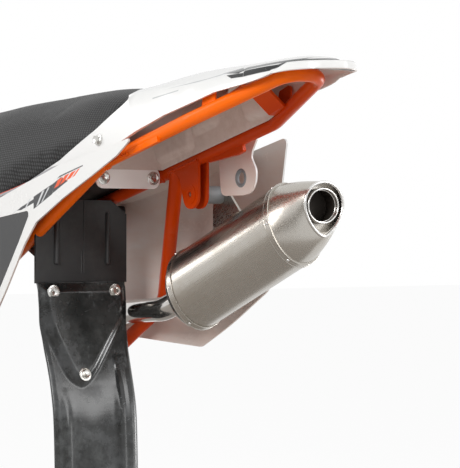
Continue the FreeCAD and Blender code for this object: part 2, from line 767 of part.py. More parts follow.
FENDER_STATIONS = [
    # x, crown height, crease outside the rails, crease height, wall outside the rails, foot height
    (40, 150, 15, 118, 17, -40),
    (140, 163, 14, 134, 17, -12),
    (240, 176, 13, 150, 17, 16),
    (330, 187, 12, 164, 17, 40),
    (390, 192, 7, 170, 16.5, 62),
    (450, 196.8, 0, 176, 15, 90),
    (520, 204.8, -4, 179, 9, 104),
    (600, 207.8, -8, 182, 2, 120),
    (700, 209.8, -16, 191, -10, 135),
    (800, 205.8, -33, 194, -30, 150),
    (846, 196.8, -46, 190, -44, 160),
]
FENDER_CROWN_AT_STRAP = 207.8
ARCH = [(1.0, 1.0), (0.8, 0.66), (0.5, 0.3), (0.25, 0.06)]


def arched(x, crown, edge, edge_z, arch, sides):
    """A closed section: a smooth top from edge to edge, then straight sides, left half first."""
    left = [(-edge * share, crown - (crown - edge_z) * drop) for share, drop in arch]
    top = left + [(0, crown)] + [(-y, z) for y, z in reversed(left)]
    curve = Part.BSplineCurve()
    curve.interpolate([V(x, y, z) for y, z in top])
    corners = [V(x, edge, edge_z)] + [V(x, -y, z) for y, z in sides] + [V(x, y, z) for y, z in reversed(sides)]
    corners.append(V(x, -edge, edge_z))
    return Part.Wire([curve.toShape()] + [Part.makeLine(p, q) for p, q in zip(corners, corners[1:])])


def fender_solid(inset, drop, end_inset):
    """The fender's closed outer form, or with an inset the space under it."""
    rings = []
    half = float(D.rail_half_width + half_tube)
    for i, (x, crown, crease, crease_z, wall, foot) in enumerate(FENDER_STATIONS):
        if i in (0, len(FENDER_STATIONS) - 1):
            x -= end_inset
        rings.append(arched(x, crown - inset, half + crease - inset, crease_z - inset * 0.8, ARCH,
                            [(-half - wall + inset, foot - drop)]))
    return Part.makeLoft(rings, True, False)


def fender():
    """The fender shell, trimmed to its side outline, with a boss for the strap's bolt."""
    solid = feature("fender_form", fender_solid(0, 0, 0))
    hollow = feature("fender_space", fender_solid(float(D.shell_gauge), 20, float(D.shell_gauge)))
    side = new_body("fender_side")
    sketch = sketch_on(side, "XZ_Plane")
    outline(sketch, [(62, 30), (170, 53), (272, 80), (383, 95), (434, 108, 20), (471, 122, 30),
                     (533, 141.5), (600, 157), (641, 167), (700, 174.5), (736, 180.5), (772, 188),
                     (804, 190), (860, 188), (860, 240), (405, 240), (405, 187), (430, 183, 10),
                     (452, 176, 8), (427, 161, 20), (366, 129), (266, 87), (170, 58), (62, 35)])
    pad(side, sketch, D.rail_half_width * 4, True)
    form = common("fender_trimmed_form", solid, side)
    shell = cut("fender_shell", form, hollow)
    top = FENDER_CROWN_AT_STRAP - float(D.shell_gauge) / 2
    x, z = on_tail(D.strap_place + D.strap_width / 2, D.strap_rise + D.strap_gauge + D.clearance)
    boss = cylinder("fender_boss", 11, top - z)
    place(boss, x, 0, z)
    return form, keep(cut("rear_fender", fuse("fender_whole", [shell, boss]), strap), "rear_fender")


fender_form, fender_shell = fender()


# Seat

SEAT_STATIONS = [
    # x, crown height, shoulder and base outside the rails
    (-255, 168, -38, -24),
    (-120, 176, -26, -10),
    (30, 182, -12, 8),
    (130, 184.6, -10, 12),
    (200, 187.2, -10, 12.5),
    (280, 191.7, -10, 12.5),
    (366, 192.4, -10, 8),
    (448, 186.5, -20, 2),
]
SEAT_ARCH = [(1.0, 1.0), (0.86, 0.53), (0.62, 0.23), (0.35, 0.05)]
SEAT_DROP = 30.0


def seat_underside(x):
    """Height of the cushion's flat underside: on the rails, then up along the tank."""
    base = float(half_tube + D.clearance) / math.cos(math.radians(float(D.rail_slope)))
    rail = x * math.tan(math.radians(float(D.rail_slope))) + base + float(SEAT_PAN)
    return rail if x >= 30 else rail + (30 - x) * 0.55


SEAT_PAN = 6.0


def seat_space():
    """What lies under the cushion: everything below the top face of the seat's pan."""
    rings = []
    wide = float(D.rail_half_width) * 2
    for x in (-300, 30, 500):
        low = seat_underside(x)
        rings.append(polygon([(x, -wide, low - 300), (x, wide, low - 300), (x, wide, low), (x, -wide, low)]))
    return feature("seat_space", Part.makeLoft(rings, True, True))


TRAY_FRONT = (float(D.cross_rear) * math.cos(math.radians(float(D.rail_slope)))
              + float(half_tube + D.plate_gauge) + 1)
SEAT_REAR = TRAY_FRONT - 0.5


def cushion():
    rings = []
    half = float(D.rail_half_width + half_tube)
    for x, crown, shoulder, base in SEAT_STATIONS:
        low = seat_underside(x) - 8
        level = crown - SEAT_DROP
        rings.append(arched(x, crown, half + shoulder, level, SEAT_ARCH,
                            [(-half - base, low + (level - low) * 0.35), (-half - base, low)]))
    form = feature("cushion_form", Part.makeLoft(rings, True, False))
    over = cut("cushion_over_pan", form, seat_space())
    clear = cut("cushion_over_tray", over, tray_form)
    tail = box("behind_the_seat", D.rail_length, D.rail_half_width * 4, D.rail_half_width * 4)
    place(tail, 400, -D.rail_half_width * 2, 0)
    behind = cut("cushion_behind", clear, common("fender_tongue", fender_form, tail))
    keep(cut("seat_cushion", behind, fender_shell), "seat_cushion")


def seat_base():
    """The moulded pan under the cushion, resting on both rails."""
    rings = []
    for x in (-250, -120, 30, 200, SEAT_REAR):
        base = [s[3] for s in SEAT_STATIONS if s[0] >= x][0] + float(D.rail_half_width + half_tube) - 3
        low = seat_underside(x)
        rings.append(polygon([(x, -base, low - SEAT_PAN), (x, base, low - SEAT_PAN), (x, base, low), (x, -base, low)]))
    pan = feature("seat_pan", Part.makeLoft(rings, True, True))
    seated = cut("seat_pan_left", pan, left_rail)
    keep(cut("seat_base", seated, right_rail), "seat_base")


seat_base()


# Under-tail tray

TRAY_STATIONS = [
    # x, side inside the rails, roof inside the rails, height of the roof over the floor
    (TRAY_FRONT, 0, 12, 62),
    (450, 0, 10, 64),
    (540, 0, 14, 58),
    (584, 0, 18, 52),
    (606, 7, 26, 46),
]


def inner_fender():
    """The white tray under the fender, between the rails behind the mount plate."""
    rings, hollows, outside = [], [], []
    free = float(D.clearance)
    inside = float(D.rail_half_width - half_tube) - free
    gauge = float(D.shell_gauge)
    last = TRAY_STATIONS[-1][0]
    for x, side, roof, rise in TRAY_STATIONS:
        low = x * math.tan(math.radians(float(D.rail_slope))) + 3
        half, top = inside - side, inside - roof
        rings.append(arched(x, low + rise, top, low + rise - 8, ARCH, [(-half, low)]))
        outside.append(arched(x, low + rise + free, top + free, low + rise - 8 + free, ARCH, [(-half - free, low)]))
        x += gauge if x == TRAY_FRONT else 5 if x == last else 0
        hollows.append(arched(x, low + rise - gauge, top - gauge, low + rise - 8 - gauge, ARCH,
                              [(-half + gauge, low - 10)]))
    form = Part.makeLoft(rings, True, True)
    keep(feature("inner_fender", form.cut(Part.makeLoft(hollows, True, True))), "inner_fender")
    return feature("tray_form", Part.makeLoft(outside, True, True))


tray_form = inner_fender()
cushion()


# Side panels

def skin(name, route, low, high, gauge):
    """A sheet bent along a plan route, standing from one height to another."""
    sheet = new_body(name)
    plan = sketch_on(sheet, "XY_Plane", low)
    outline(plan, route + [(c[0], c[1] + gauge) + tuple(c[2:]) for c in reversed(route)])
    pad(sheet, plan, high - low)
    return sheet


def prism(name, corners, width):
    block = new_body(name)
    side = sketch_on(block, "XZ_Plane")
    outline(side, corners)
    pad(block, side, width, True)
    return block


LEFT_CORNERS = [(480, 114, 2.5), (432, 104), (390, 97), (289, 80), (181, 55), (81, 30), (46, 24, 10),
                (22, -20, 16), (-70, -36, 25), (-95, -130, 40), (20, -222, 30), (81, -148, 60), (114, -112),
                (173, -41, 80), (211, -6), (290, 28), (370, 60), (438, 88), (456, 99, 15)]
WINDOW_CORNERS = [(195, 13, 6), (81, 1, 30), (28, -42, 20), (-50, -54, 18), (-72, -125, 25), (14, -190, 18),
                  (62, -142, 40), (98, -105), (155, -38, 60)]
RIGHT_CORNERS = [(440, 124, 8), (350, 103), (250, 72), (81, 32), (46, 26, 10), (22, -20, 16), (-70, -36, 25),
                 (-95, -130, 40), (75, -193, 20), (240, -205, 12), (398, -109, 30)]
SHOULDER = [
    # inner edge x and height, outer edge x, how far outside the rails, and height
    (62, 34, 20, 48.5, 22),
    (170, 57, 90, 63.5, 32),
    (272, 84, 170, 80, 51),
    (383, 99, 260, 101.5, 73),
    (494, 112, 352, 114.5, 101),
]
LOBE = [(505, 114), (495, 99, 10), (492, 88, 10), (505, 70, 20), (503, 52, 20), (494, 36, 20), (470, 33, 12),
        (415, 33, 12), (405, 112)]


def left_route(inset=0.0):
    face = -(D.rail_half_width + half_tube)
    return [(-112, face - 7 + inset), (80, face - 25 + inset, 400), (300, face - 26 + inset, 400),
            (500, face - 19 + inset)]


def left_panel():
    gauge = D.shell_gauge
    width = D.rail_half_width * 6
    window = prism("left_window", WINDOW_CORNERS, width)
    sheet = common("left_panel_sheet", skin("left_skin", left_route(), as_size(-260), as_size(140), gauge),
                   prism("left_side", LEFT_CORNERS, width))
    panel = keep(cut("left_side_panel", sheet, window), "left_side_panel")
    filling = common("left_insert_whole",
                     skin("left_insert_skin", left_route(1.0), as_size(-260), as_size(140), gauge), window)
    access = cylinder("bolt_access", D.access_dia / 2, width)
    place(access, D.brace_foot_x, -width, D.brace_foot_z, ACROSS)
    keep(cut("left_panel_insert", filling, access), "left_panel_insert")
    return panel


left_skin = left_panel()


def right_shoulder():
    """The sheet that closes the gap between the right panel's top edge and the fender's side."""
    rings = []
    gauge, half = float(D.shell_gauge), float(D.rail_half_width + half_tube)
    for near_x, near_z, far_x, out, far_z in SHOULDER:
        near, far = V(near_x, half + 14, near_z), V(far_x, half + out, far_z)
        rings.append(polygon([near, far, V(far.x, far.y, far.z - gauge), V(near.x, near.y, near.z - gauge)]))
    return feature("right_shoulder", Part.makeLoft(rings, True, True))


def right_lobe():
    """The lobe that hangs from the shoulder's rear end, with its round grommet hole."""
    lobe = new_body("right_lobe")
    face = sketch_on(lobe, "XZ_Plane", -(D.rail_half_width + half_tube + 15))
    outline(face, LOBE)
    pad(lobe, face, D.shell_gauge, True)
    drill(lobe, "XZ_Plane", 466, 58.7, 26, D.rail_half_width * 4)
    return lobe


def right_panel():
    gauge = D.shell_gauge
    width = D.rail_half_width * 6
    face = D.rail_half_width + half_tube
    route = [(-112, face + 31), (20, face + 47, 200), (170, face + 79, 200), (300, face + 110, 300),
             (450, face + 119)]
    sheet = common("right_panel_sheet", skin("right_skin", route, as_size(-260), as_size(140), gauge),
                   prism("right_side", RIGHT_CORNERS, width))
    whole = fuse("right_panel_whole", [sheet, right_shoulder(), right_lobe()])
    return keep(cut("right_side_panel", whole, fender_shell), "right_side_panel")


right_skin = right_panel()


# Air box, splash wall and mud flap

def air_box():
    half = D.rail_half_width - half_tube - D.clearance
    block = prism("air_box_block", [(74, -100, 20), (156, -100), (156, 21), (74, 4)], half * 2)
    keep(block, "air_box")


air_box()


def splash_wall():
    """The black wall at the air box's rear, with two ribs and a slot on its face."""
    wall = new_body("splash_wall")
    face = sketch_on(wall, "YZ_Plane", 156.3)
    half = D.rail_half_width + 8
    outline(face, [(-half, -101), (half + 6, -101), (half + 6, 8), (57, 30), (-57, 30), (-half, 8)])
    pad(wall, face, 5)
    for y, width, low, high in ((-43, 2.5, -68, 26), (50, 2, -68, 10), (7, 0.8, -86, 28)):
        rib = sketch_on(wall, "YZ_Plane", 161.3)
        outline(rib, [(y - width, low), (y + width, low), (y + width, high), (y - width, high)])
        pad(wall, rib, 4 if width > 1 else 1)
    fitted = cut("splash_wall_fitted", wall, brace)
    seated = cut("splash_wall_left", fitted, left_rail)
    keep(cut("splash_wall", seated, right_rail), "splash_wall")


splash_wall()


def flap_strip(name, inset, gauge, low=-475):
    """A sheet with the flap's lean, padded across the tail."""
    line = [(161.3, -88), (161.3, -108, 60), (167, -165, 200), (187, -235, 150), (206, -300, 150),
            (211, -390, 400), (215, low)]
    strip = new_body(name)
    side = sketch_on(strip, "XZ_Plane")
    outline(side, [(c[0] + inset, c[1]) + tuple(c[2:]) for c in line]
            + [(c[0] + inset + gauge, c[1]) + tuple(c[2:]) for c in reversed(line)])
    pad(strip, side, D.rail_half_width * 3, True)
    return strip


def flap_front(name, corners):
    block = new_body(name)
    face = sketch_on(block, "YZ_Plane", 100)
    outline(face, corners)
    pad(block, face, 200)
    return block


SHIELD_CORNERS = [(-74, -102, 10), (76, -102, 10), (78, -152, 20), (62, -168, 20), (8, -246, 10), (-16, -260, 14),
                  (-40, -248, 14), (-77, -172, 20)]
FLAP_BOLTS = [(-57, -114, 165), (55, -114, 165), (-16, -243, 192.5)]


def mud_flap():
    """The hanging flap with its raised shield."""
    half = D.rail_half_width + 8
    sheet = common("flap_sheet", flap_strip("flap_strip", 0, 3),
                   flap_front("flap_front", [(-half, -88), (half, -88), (half, -180, 200),
                                             (half - 4, -470, 40), (-half + 6, -470, 40), (-half + 9, -240, 200),
                                             (-half + 2, -165, 200)]))
    shield = common("flap_shield", flap_strip("shield_strip", 2, 6), flap_front("shield_front", SHIELD_CORNERS))
    return keep(fuse("mud_flap", [sheet, shield]), "mud_flap")


flap = mud_flap()


# Bolts, tabs and spacers

def round_pin(name, radius, length, x, y, z, turns):
    pin = cylinder(name, radius, length)
    place(pin, x, y, z, turns)
    return pin


def panel_spacers():
    """Rubber-faced bosses between the rails and the side panels."""
    left = []
    face = D.rail_half_width + half_tube - 2
    for along, reach in ((66, 24), (330, 25.5)):
        x = along * D.rail_slope.cos()
        z = along * D.rail_slope.sin()
        left.append(round_pin("left_boss", 8, reach, x, -(face + reach), z, ACROSS))
    seated = cut("left_bosses_seated", fuse("left_bosses", left), left_rail)
    fitted = cut("left_bosses_fitted", seated, brace)
    keep(cut("left_panel_spacers", fitted, left_skin), "left_panel_spacers")
    x, z = 66 * D.rail_slope.cos(), 66 * D.rail_slope.sin()
    boss = round_pin("right_boss", 8, 59, x, face, z, ACROSS)
    seated = cut("right_boss_seated", boss, right_rail)
    keep(cut("right_panel_spacer", seated, right_skin), "right_panel_spacer")


panel_spacers()


def flap_bolts():
    pins = []
    for y, z, x in FLAP_BOLTS:
        pins.append(round_pin("flap_bolt", D.head_dia / 2, D.head_height * 2.5, x, y, z, TO_TAIL))
    keep(cut("flap_bolts", fuse("flap_bolt_heads", pins), flap), "flap_bolts")


flap_bolts()


def rail_tabs():
    """Small plates welded on the tubes: under the fender, on the right leg and behind the bracket."""
    tabs = []
    lean = 12
    for side in (-1, 1):
        tab = new_body("fender_tab_%s" % ("left" if side < 0 else "right"))
        face = sketch_on(tab, "XZ_Plane", -loop_half(as_size(32)) * side)
        outline(face, [(14, 0), (50, 0), (50 + lean, 34, 5), (22 + lean, 34, 5)])
        pad(tab, face, 3, True)
        tail_plane(tab)
        tabs.append(tab)
    half_round = new_body("half_round_tab")
    face = sketch_on(half_round, "XZ_Plane", -D.rail_half_width)
    outline(face, [(469, 0), (491, 0), (491, 18, 9), (469, 18, 9)])
    pad(half_round, face, 3, True)
    rail_plane(half_round)
    gusset = new_body("right_gusset")
    face = sketch_on(gusset, "XZ_Plane", -D.rail_half_width)
    outline(face, [(425, 0), (516, 0), (518, -20, 3), (500, -21), (425, -13)])
    pad(gusset, face, 6, True)
    rail_plane(gusset)
    seated = cut("loop_tabs_seated", fuse("loop_tabs_raw", tabs + [half_round, gusset]), loop)
    fitted = cut("loop_tabs_fitted", cut("loop_tabs_apart", seated, right_rail), bracket)
    keep(cut("loop_tabs", fitted, fender_shell), "loop_tabs")


rail_tabs()


def finish():
    DOC.recompute()
    for thing in DOC.Objects:
        if "Invalid" in thing.State or "Error" in thing.State:
            raise RuntimeError("%s is %s" % (thing.Name, thing.State))
    os.makedirs("parts", exist_ok=True)
    for name, thing in PARTS:
        shape = thing.Shape
        if shape.isNull() or not shape.isValid() or not shape.Solids:
            raise RuntimeError("%s has no sound shape" % name)
        shape.exportStep("parts/%s.step" % name)
        print("%-24s %d solid(s), %9.0f mm3" % (name, len(shape.Solids), shape.Volume))


finish()
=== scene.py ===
"""Looks for the tail unit of an off-road motorcycle.

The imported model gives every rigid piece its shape. This script dresses those pieces, stretches
a cover over the seat's foam, replaces the moulded parts that need more form, adds the welds,
bolt heads, rivets and graphics, and sets up the studio. The scene is in metres, in the frame of
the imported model: +X to the tail, +Y to the rider's right, +Z up, with the origin on the front
upper bolt. A class gives its sizes in millimetres where its own first line says so.
"""

import json
import logging
import math
from dataclasses import dataclass, field
from enum import Enum
from typing import ClassVar, Iterable, Sequence

import bmesh
import bpy
from mathutils import Euler, Matrix, Vector

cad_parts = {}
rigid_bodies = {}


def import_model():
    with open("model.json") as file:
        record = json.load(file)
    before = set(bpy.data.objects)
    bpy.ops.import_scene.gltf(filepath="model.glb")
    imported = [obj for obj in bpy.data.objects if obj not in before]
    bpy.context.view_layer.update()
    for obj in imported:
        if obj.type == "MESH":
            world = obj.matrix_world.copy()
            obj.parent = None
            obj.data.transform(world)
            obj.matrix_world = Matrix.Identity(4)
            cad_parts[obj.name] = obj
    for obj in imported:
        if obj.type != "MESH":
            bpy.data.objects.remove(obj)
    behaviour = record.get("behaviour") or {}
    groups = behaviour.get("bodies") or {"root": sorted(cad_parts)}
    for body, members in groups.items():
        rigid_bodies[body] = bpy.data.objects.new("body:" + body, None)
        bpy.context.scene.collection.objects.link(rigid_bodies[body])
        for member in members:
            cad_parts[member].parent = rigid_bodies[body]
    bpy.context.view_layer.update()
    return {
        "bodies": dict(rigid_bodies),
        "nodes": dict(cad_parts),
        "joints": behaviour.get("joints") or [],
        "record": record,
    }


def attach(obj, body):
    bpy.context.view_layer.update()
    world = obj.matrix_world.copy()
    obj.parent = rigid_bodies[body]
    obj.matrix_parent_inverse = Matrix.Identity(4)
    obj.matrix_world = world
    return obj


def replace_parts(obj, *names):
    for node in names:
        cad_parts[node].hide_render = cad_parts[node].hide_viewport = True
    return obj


log = logging.getLogger("tail_unit")

Flat = tuple[float, float]
Point = tuple[float, float, float]
Colour = tuple[float, float, float]
Outline = tuple[Flat, ...]
Node = bpy.types.Node
Socket = bpy.types.NodeSocket

BODY = "root"
MM = 1000.0  # millimetres in a metre
RAIL_SLOPE = 12.9  # how the rails climb to the tail, in degrees
CAN_AXIS: Point = (0.8515, 0.2426, 0.4648)
OUTLET_AXIS: Point = (0.990, -0.139, 0.0)
SHARP_ANGLE = math.radians(38)


def held(value: float, low: float = 0.0, high: float = 1.0) -> float:
    """Keeps a number between two limits."""
    return max(low, min(high, value))


def eased(value: float, low: float = 0.0, high: float = 1.0) -> float:
    """Gives a smooth step from 0 at one number to 1 at another."""
    share = held((value - low) / (high - low))
    return share * share * (3 - 2 * share)


def circle(radius: float, steps: int) -> list[Flat]:
    """Gives the points of a circle, anticlockwise from its first axis."""
    angles = [math.tau * i / steps for i in range(steps)]
    return [(radius * math.cos(a), radius * math.sin(a)) for a in angles]


def spot(at: Sequence[float], along: Sequence[float]) -> Matrix:
    """Gives a place in metres with Z along a direction, for a point in millimetres."""
    turn = Vector(along).to_track_quat("Z", "Y").to_matrix().to_4x4()
    return Matrix.Translation(Vector(at) / MM) @ turn


class Slot(Enum):
    """The record's material slots."""

    FRAME = "frame_orange"
    WHITE = "white_plastic"
    BLACK = "black_plastic"
    FLAP = "flap_plastic"
    SEAT = "seat_cover"
    STEEL = "silencer_steel"
    CHROME = "pipe_chrome"
    ZINC = "fastener_zinc"
    RUBBER = "bush_rubber"


class Board:
    """A node tree, with short calls for the nodes that this file uses."""

    def __init__(self, tree: bpy.types.NodeTree) -> None:
        """Starts on the tree of a material, a group or the world."""
        self.tree = tree

    def ends(self) -> tuple[Node, Node]:
        """Adds a group's input node and its output node."""
        return self.tree.nodes.new("NodeGroupInput"), self.tree.nodes.new("NodeGroupOutput")

    def add(self, kind: str, **settings: object) -> Node:
        """Adds a node.

        Args:
            kind: The node's type name, without its ShaderNode prefix.
            settings: Properties of the node, by name.

        Returns:
            The new node.
        """
        node = self.tree.nodes.new("ShaderNode" + kind)
        for name, value in settings.items():
            setattr(node, name, value)
        return node

    def feed(self, socket: Socket, value: object) -> None:
        """Links a socket to another node's output, or sets its value.

        Args:
            socket: The socket to feed.
            value: An output, or a plain value.
        """
        if isinstance(value, Socket):
            self.tree.links.new(value, socket)
        else:
            socket.default_value = value

    def place(self) -> Socket:
        """Gives the point on the surface in the object's own coordinates."""
        return self.add("TexCoord").outputs["Object"]

    def filled(self, node: Node, values: Iterable[object]) -> Node:
        """Feeds a node's inputs in their order.

        Args:
            node: The node.
            values: Sockets or plain values.

        Returns:
            The same node.
        """
        for socket, value in zip(node.inputs, values):
            self.feed(socket, value)
        return node

    def sum(self, kind: str, *values: object) -> Socket:
        """Does arithmetic, such as ADD or MULTIPLY, on numbers."""
        return self.filled(self.add("Math", operation=kind), values).outputs[0]

    def times(self, *values: object) -> Socket:
        """Multiplies two or more numbers.

        Args:
            values: Sockets or numbers, a socket first.

        Returns:
            Their product.
        """
        product = values[0]
        for value in values[1:]:
            product = self.sum("MULTIPLY", product, value)
        return product

    def vector(self, kind: str, *values: object) -> Socket:
        """Does arithmetic, such as ADD or DOT_PRODUCT, on vectors."""
        node = self.filled(self.add("VectorMath", operation=kind), values)
        return node.outputs["Value" if kind == "DOT_PRODUCT" else "Vector"]

    def scaled(self, vector: object, factor: object) -> Socket:
        """Scales a vector by a number.

        Args:
            vector: The vector.
            factor: The number.

        Returns:
            The scaled vector.
        """
        node = self.add("VectorMath", operation="SCALE")
        self.feed(node.inputs[0], vector)
        self.feed(node.inputs["Scale"], factor)
        return node.outputs["Vector"]

    def parts(self, vector: object) -> tuple[Socket, Socket, Socket]:
        """Splits a vector in its three numbers."""
        node = self.filled(self.add("SeparateXYZ"), [vector])
        return node.outputs["X"], node.outputs["Y"], node.outputs["Z"]

    def joined(self, x: object, y: object, z: object = 0.0) -> Socket:
        """Makes a vector of three numbers."""
        return self.filled(self.add("CombineXYZ"), (x, y, z)).outputs[0]

    def noise(self, at: object, scale: object, detail: float = 2.0, rough: float = 0.5) -> Socket:
        """Gives smooth noise from 0 to 1.

        Args:
            at: The point to read it at.
            scale: How many features fit in a metre.
            detail: How many finer layers it has.
            rough: How strong those layers are.

        Returns:
            The noise.
        """
        node = self.add("TexNoise")
        values = {"Vector": at, "Scale": scale, "Detail": detail, "Roughness": rough}
        for name, value in values.items():
            self.feed(node.inputs[name], value)
        return node.outputs["Fac"]

    def ramp(self, value: object, low: float, high: float, to: Flat = (0.0, 1.0)) -> Socket:
        """Maps a range of numbers on another, and holds it at both ends.

        Args:
            value: The number to map.
            low: The range's start.
            high: The range's end.
            to: The start and end of the range that it is mapped on.

        Returns:
            The mapped number.
        """
        node = self.add("MapRange", clamp=True)
        values = {"Value": value, "From Min": low, "From Max": high, "To Min": to[0], "To Max": to[1]}
        for name, number in values.items():
            self.feed(node.inputs[name], number)
        return node.outputs["Result"]

    def mix(self, share: object, first: object, second: object) -> Socket:
        """Mixes two colours.

        Args:
            share: How much of the second colour shows.
            first: The first colour.
            second: The second colour.

        Returns:
            The mixed colour.
        """
        node = self.add("Mix", data_type="RGBA")
        for place, value in ((0, share), (6, first), (7, second)):  # the inputs of a colour mix
            self.feed(node.inputs[place], (*value, 1.0) if isinstance(value, tuple) else value)
        return node.outputs[2]

    def bump(self, height: object, distance: float, strength: float = 1.0) -> Socket:
        """Turns a height into a bent normal.

        Args:
            height: The height, from 0 to 1.
            distance: How far 1 stands out, in metres.
            strength: How much of the bump is used.

        Returns:
            The normal.
        """
        node = self.add("Bump")
        for name, value in (("Height", height), ("Distance", distance), ("Strength", strength)):
            self.feed(node.inputs[name], value)
        return node.outputs["Normal"]

    def group(self, tree: bpy.types.NodeTree, output: str, **values: object) -> Socket:
        """Places a node group.

        Args:
            tree: The group.
            output: The output that is wanted.
            values: What its inputs get, by name.

        Returns:
            That output.
        """
        node = self.add("Group", node_tree=tree)
        for name, value in values.items():
            self.feed(node.inputs[name], value)
        return node.outputs[output]

    def union(self, masks: Sequence[Socket]) -> Socket:
        """Joins several masks in one.

        Args:
            masks: The masks.

        Returns:
            The highest of them at every point.
        """
        whole = masks[0]
        for mask in masks[1:]:
            whole = self.sum("MAXIMUM", whole, mask)
        return whole

    def inside(self, flat: Socket, corners: Outline, edge: float = 0.0005) -> Socket:
        """Masks a convex outline.

        Args:
            flat: The point, with the drawing's two axes in X and Y.
            corners: The outline's corners in millimetres, anticlockwise.
            edge: How soft the edge is, in metres.

        Returns:
            1 inside the outline and 0 outside.
        """
        nearest = None
        for (ax, ay), (bx, by) in zip(corners, (*corners[1:], corners[0])):
            reach = math.hypot(bx - ax, by - ay)
            across = ((ay - by) / reach, (bx - ax) / reach, 0.0)
            start = (across[0] * ax + across[1] * ay) / MM
            side = self.sum("SUBTRACT", self.vector("DOT_PRODUCT", flat, across), start)
            nearest = side if nearest is None else self.sum("MINIMUM", nearest, side)
        return self.ramp(nearest, -edge, edge)

    def seen(self) -> Socket:
        """Masks what the camera sees, straight, in a mirror or through glass."""
        rays = self.add("LightPath").outputs
        return self.union([rays[f"Is {kind} Ray"] for kind in ("Camera", "Glossy", "Transmission")])


class Effects:
    """The node groups that several finishes share, each built once."""

    def __init__(self) -> None:
        """Builds every group."""
        self.handling = self._handling()
        self.grain = self._grain()
        self.brushing = self._brushing()

    @staticmethod
    def _start(name: str, inputs: dict[str, object], output: str) -> tuple[Board, Node, Node]:
        """Makes an empty shader node group.

        Args:
            name: The group's name.
            inputs: The starting value of each input, by name: a number or a vector.
            output: The name of its one output, a number.

        Returns:
            The board to build on, the group's input node and its output node.
        """
        tree = bpy.data.node_groups.new(name, "ShaderNodeTree")
        for label, value in inputs.items():
            kind = "NodeSocketVector" if isinstance(value, tuple) else "NodeSocketFloat"
            tree.interface.new_socket(label, in_out="INPUT", socket_type=kind).default_value = value
        tree.interface.new_socket(output, in_out="OUTPUT", socket_type="NodeSocketFloat")
        board = Board(tree)
        return board, *board.ends()

    def _handling(self) -> bpy.types.NodeTree:
        """Makes soft smears and dust: a mask that roughens and pales a surface in patches.

        Returns:
            The group.
        """
        board, start, end = self._start("handling", {"Scale": 12.0, "Amount": 0.5}, "Mask")
        at, scale = board.place(), start.outputs["Scale"]
        broad = board.ramp(board.noise(at, scale, 4.0, 0.6), 0.42, 0.68)
        fine = board.ramp(board.noise(at, board.times(scale, 9.0), 3.0, 0.7), 0.3, 0.7)
        board.feed(end.inputs["Mask"], board.times(broad, fine, start.outputs["Amount"]))
        return board.tree

    def _grain(self) -> bpy.types.NodeTree:
        """Makes the fine leathery grain of moulded plastic.

        Returns:
            The group.
        """
        board, start, end = self._start("moulded_grain", {"Scale": 900.0}, "Height")
        cells = board.add("TexVoronoi", feature="SMOOTH_F1")
        board.feed(cells.inputs["Vector"], board.place())
        board.feed(cells.inputs["Scale"], start.outputs["Scale"])
        board.feed(end.inputs["Height"], cells.outputs["Distance"])
        return board.tree

    def _brushing(self) -> bpy.types.NodeTree:
        """Makes fine parallel lines, drawn out along the direction in which they run.

        Returns:
            The group.
        """
        inputs = {"Along": (1.0, 0.0, 0.0), "Scale": 600.0, "Draw": 0.03}
        board, start, end = self._start("brushing", inputs, "Lines")
        at, along = board.place(), start.outputs["Along"]
        run = board.vector("DOT_PRODUCT", at, along)
        flat = board.vector("SUBTRACT", at, board.scaled(along, run))
        slow = board.scaled(along, board.times(run, start.outputs["Draw"]))
        lines = board.noise(board.vector("ADD", flat, slow), start.outputs["Scale"], 3.0, 0.6)
        board.feed(end.inputs["Lines"], lines)
        return board.tree


class Coat(Board):
    """The board of one material, with its Principled shader and the shared groups."""

    def __init__(self, material: bpy.types.Material, effects: Effects) -> None:
        """Starts on a material.

        Args:
            material: The material to dress.
            effects: The shared node groups.
        """
        super().__init__(material.node_tree)
        self.shader = material.node_tree.nodes["Principled BSDF"]
        self.effects = effects

    def put(self, name: str, value: object) -> None:
        """Links or sets one of the shader's own sockets."""
        self.feed(self.shader.inputs[name], value)

    def colour(self) -> Socket:
        """Gives what feeds the base colour so far."""
        return self.shader.inputs["Base Color"].links[0].from_socket

    def handled(self, scale: float, amount: float) -> Socket:
        """Gives smears and dust of a scale and an amount."""
        return self.group(self.effects.handling, "Mask", Scale=scale, Amount=amount)


@dataclass(frozen=True)
class Finish:
    """A surface finish. Each kind fills the Principled shader in its own way."""

    name: str
    colour: Colour
    rough: float = 0.4
    metal: float = 0.0

    def make(self, effects: Effects) -> bpy.types.Material:
        """Makes the material.

        Args:
            effects: The shared node groups.

        Returns:
            The finished material.
        """
        material = bpy.data.materials.new(self.name)
        material.use_nodes = True
        material.diffuse_color = (*self.colour, 1.0)
        coat = Coat(material, effects)
        coat.put("Base Color", (*self.colour, 1.0))
        coat.put("Roughness", self.rough)
        coat.put("Metallic", self.metal)
        self.dress(coat)
        return material

    def dress(self, coat: Coat) -> None:
        """Adds the finish's own detail, of which the plain kind has none."""


@dataclass(frozen=True)
class Paint(Finish):
    """Powder coat: orange peel, thin dust, and painted shade on the silencer's side."""

    peel: float = 0.00006
    # painted shade: the darker red of the tubes on the silencer's side, where they sit in shade
    painted_shade: Colour = (0.60, 0.050, 0.001)
    painted_shade_from: float = -0.03
    painted_shade_to: float = 0.045
    dusty: Colour = (0.55, 0.33, 0.22)

    def dress(self, coat: Coat) -> None:
        """Adds painted shade on the silencer's side, dust, orange peel and a thin clear coat.

        Args:
            coat: The material's board.
        """
        dust = coat.handled(14.0, 0.08)
        _, across, _ = coat.parts(coat.place())
        # painted shade, darker across the machine towards the silencer's side
        painted_shade = coat.ramp(across, self.painted_shade_from, self.painted_shade_to)
        colour = coat.mix(painted_shade, self.colour, self.painted_shade)
        coat.put("Base Color", coat.mix(dust, colour, self.dusty))
        coat.put("Roughness", coat.ramp(dust, 0.0, 0.3, (self.rough, self.rough + 0.25)))
        coat.put("Normal", coat.bump(coat.noise(coat.place(), 450.0, 1.0), self.peel))
        coat.put("Specular IOR Level", 0.10)
        coat.put("Coat Weight", 0.10)
        coat.put("Coat Roughness", 0.08)


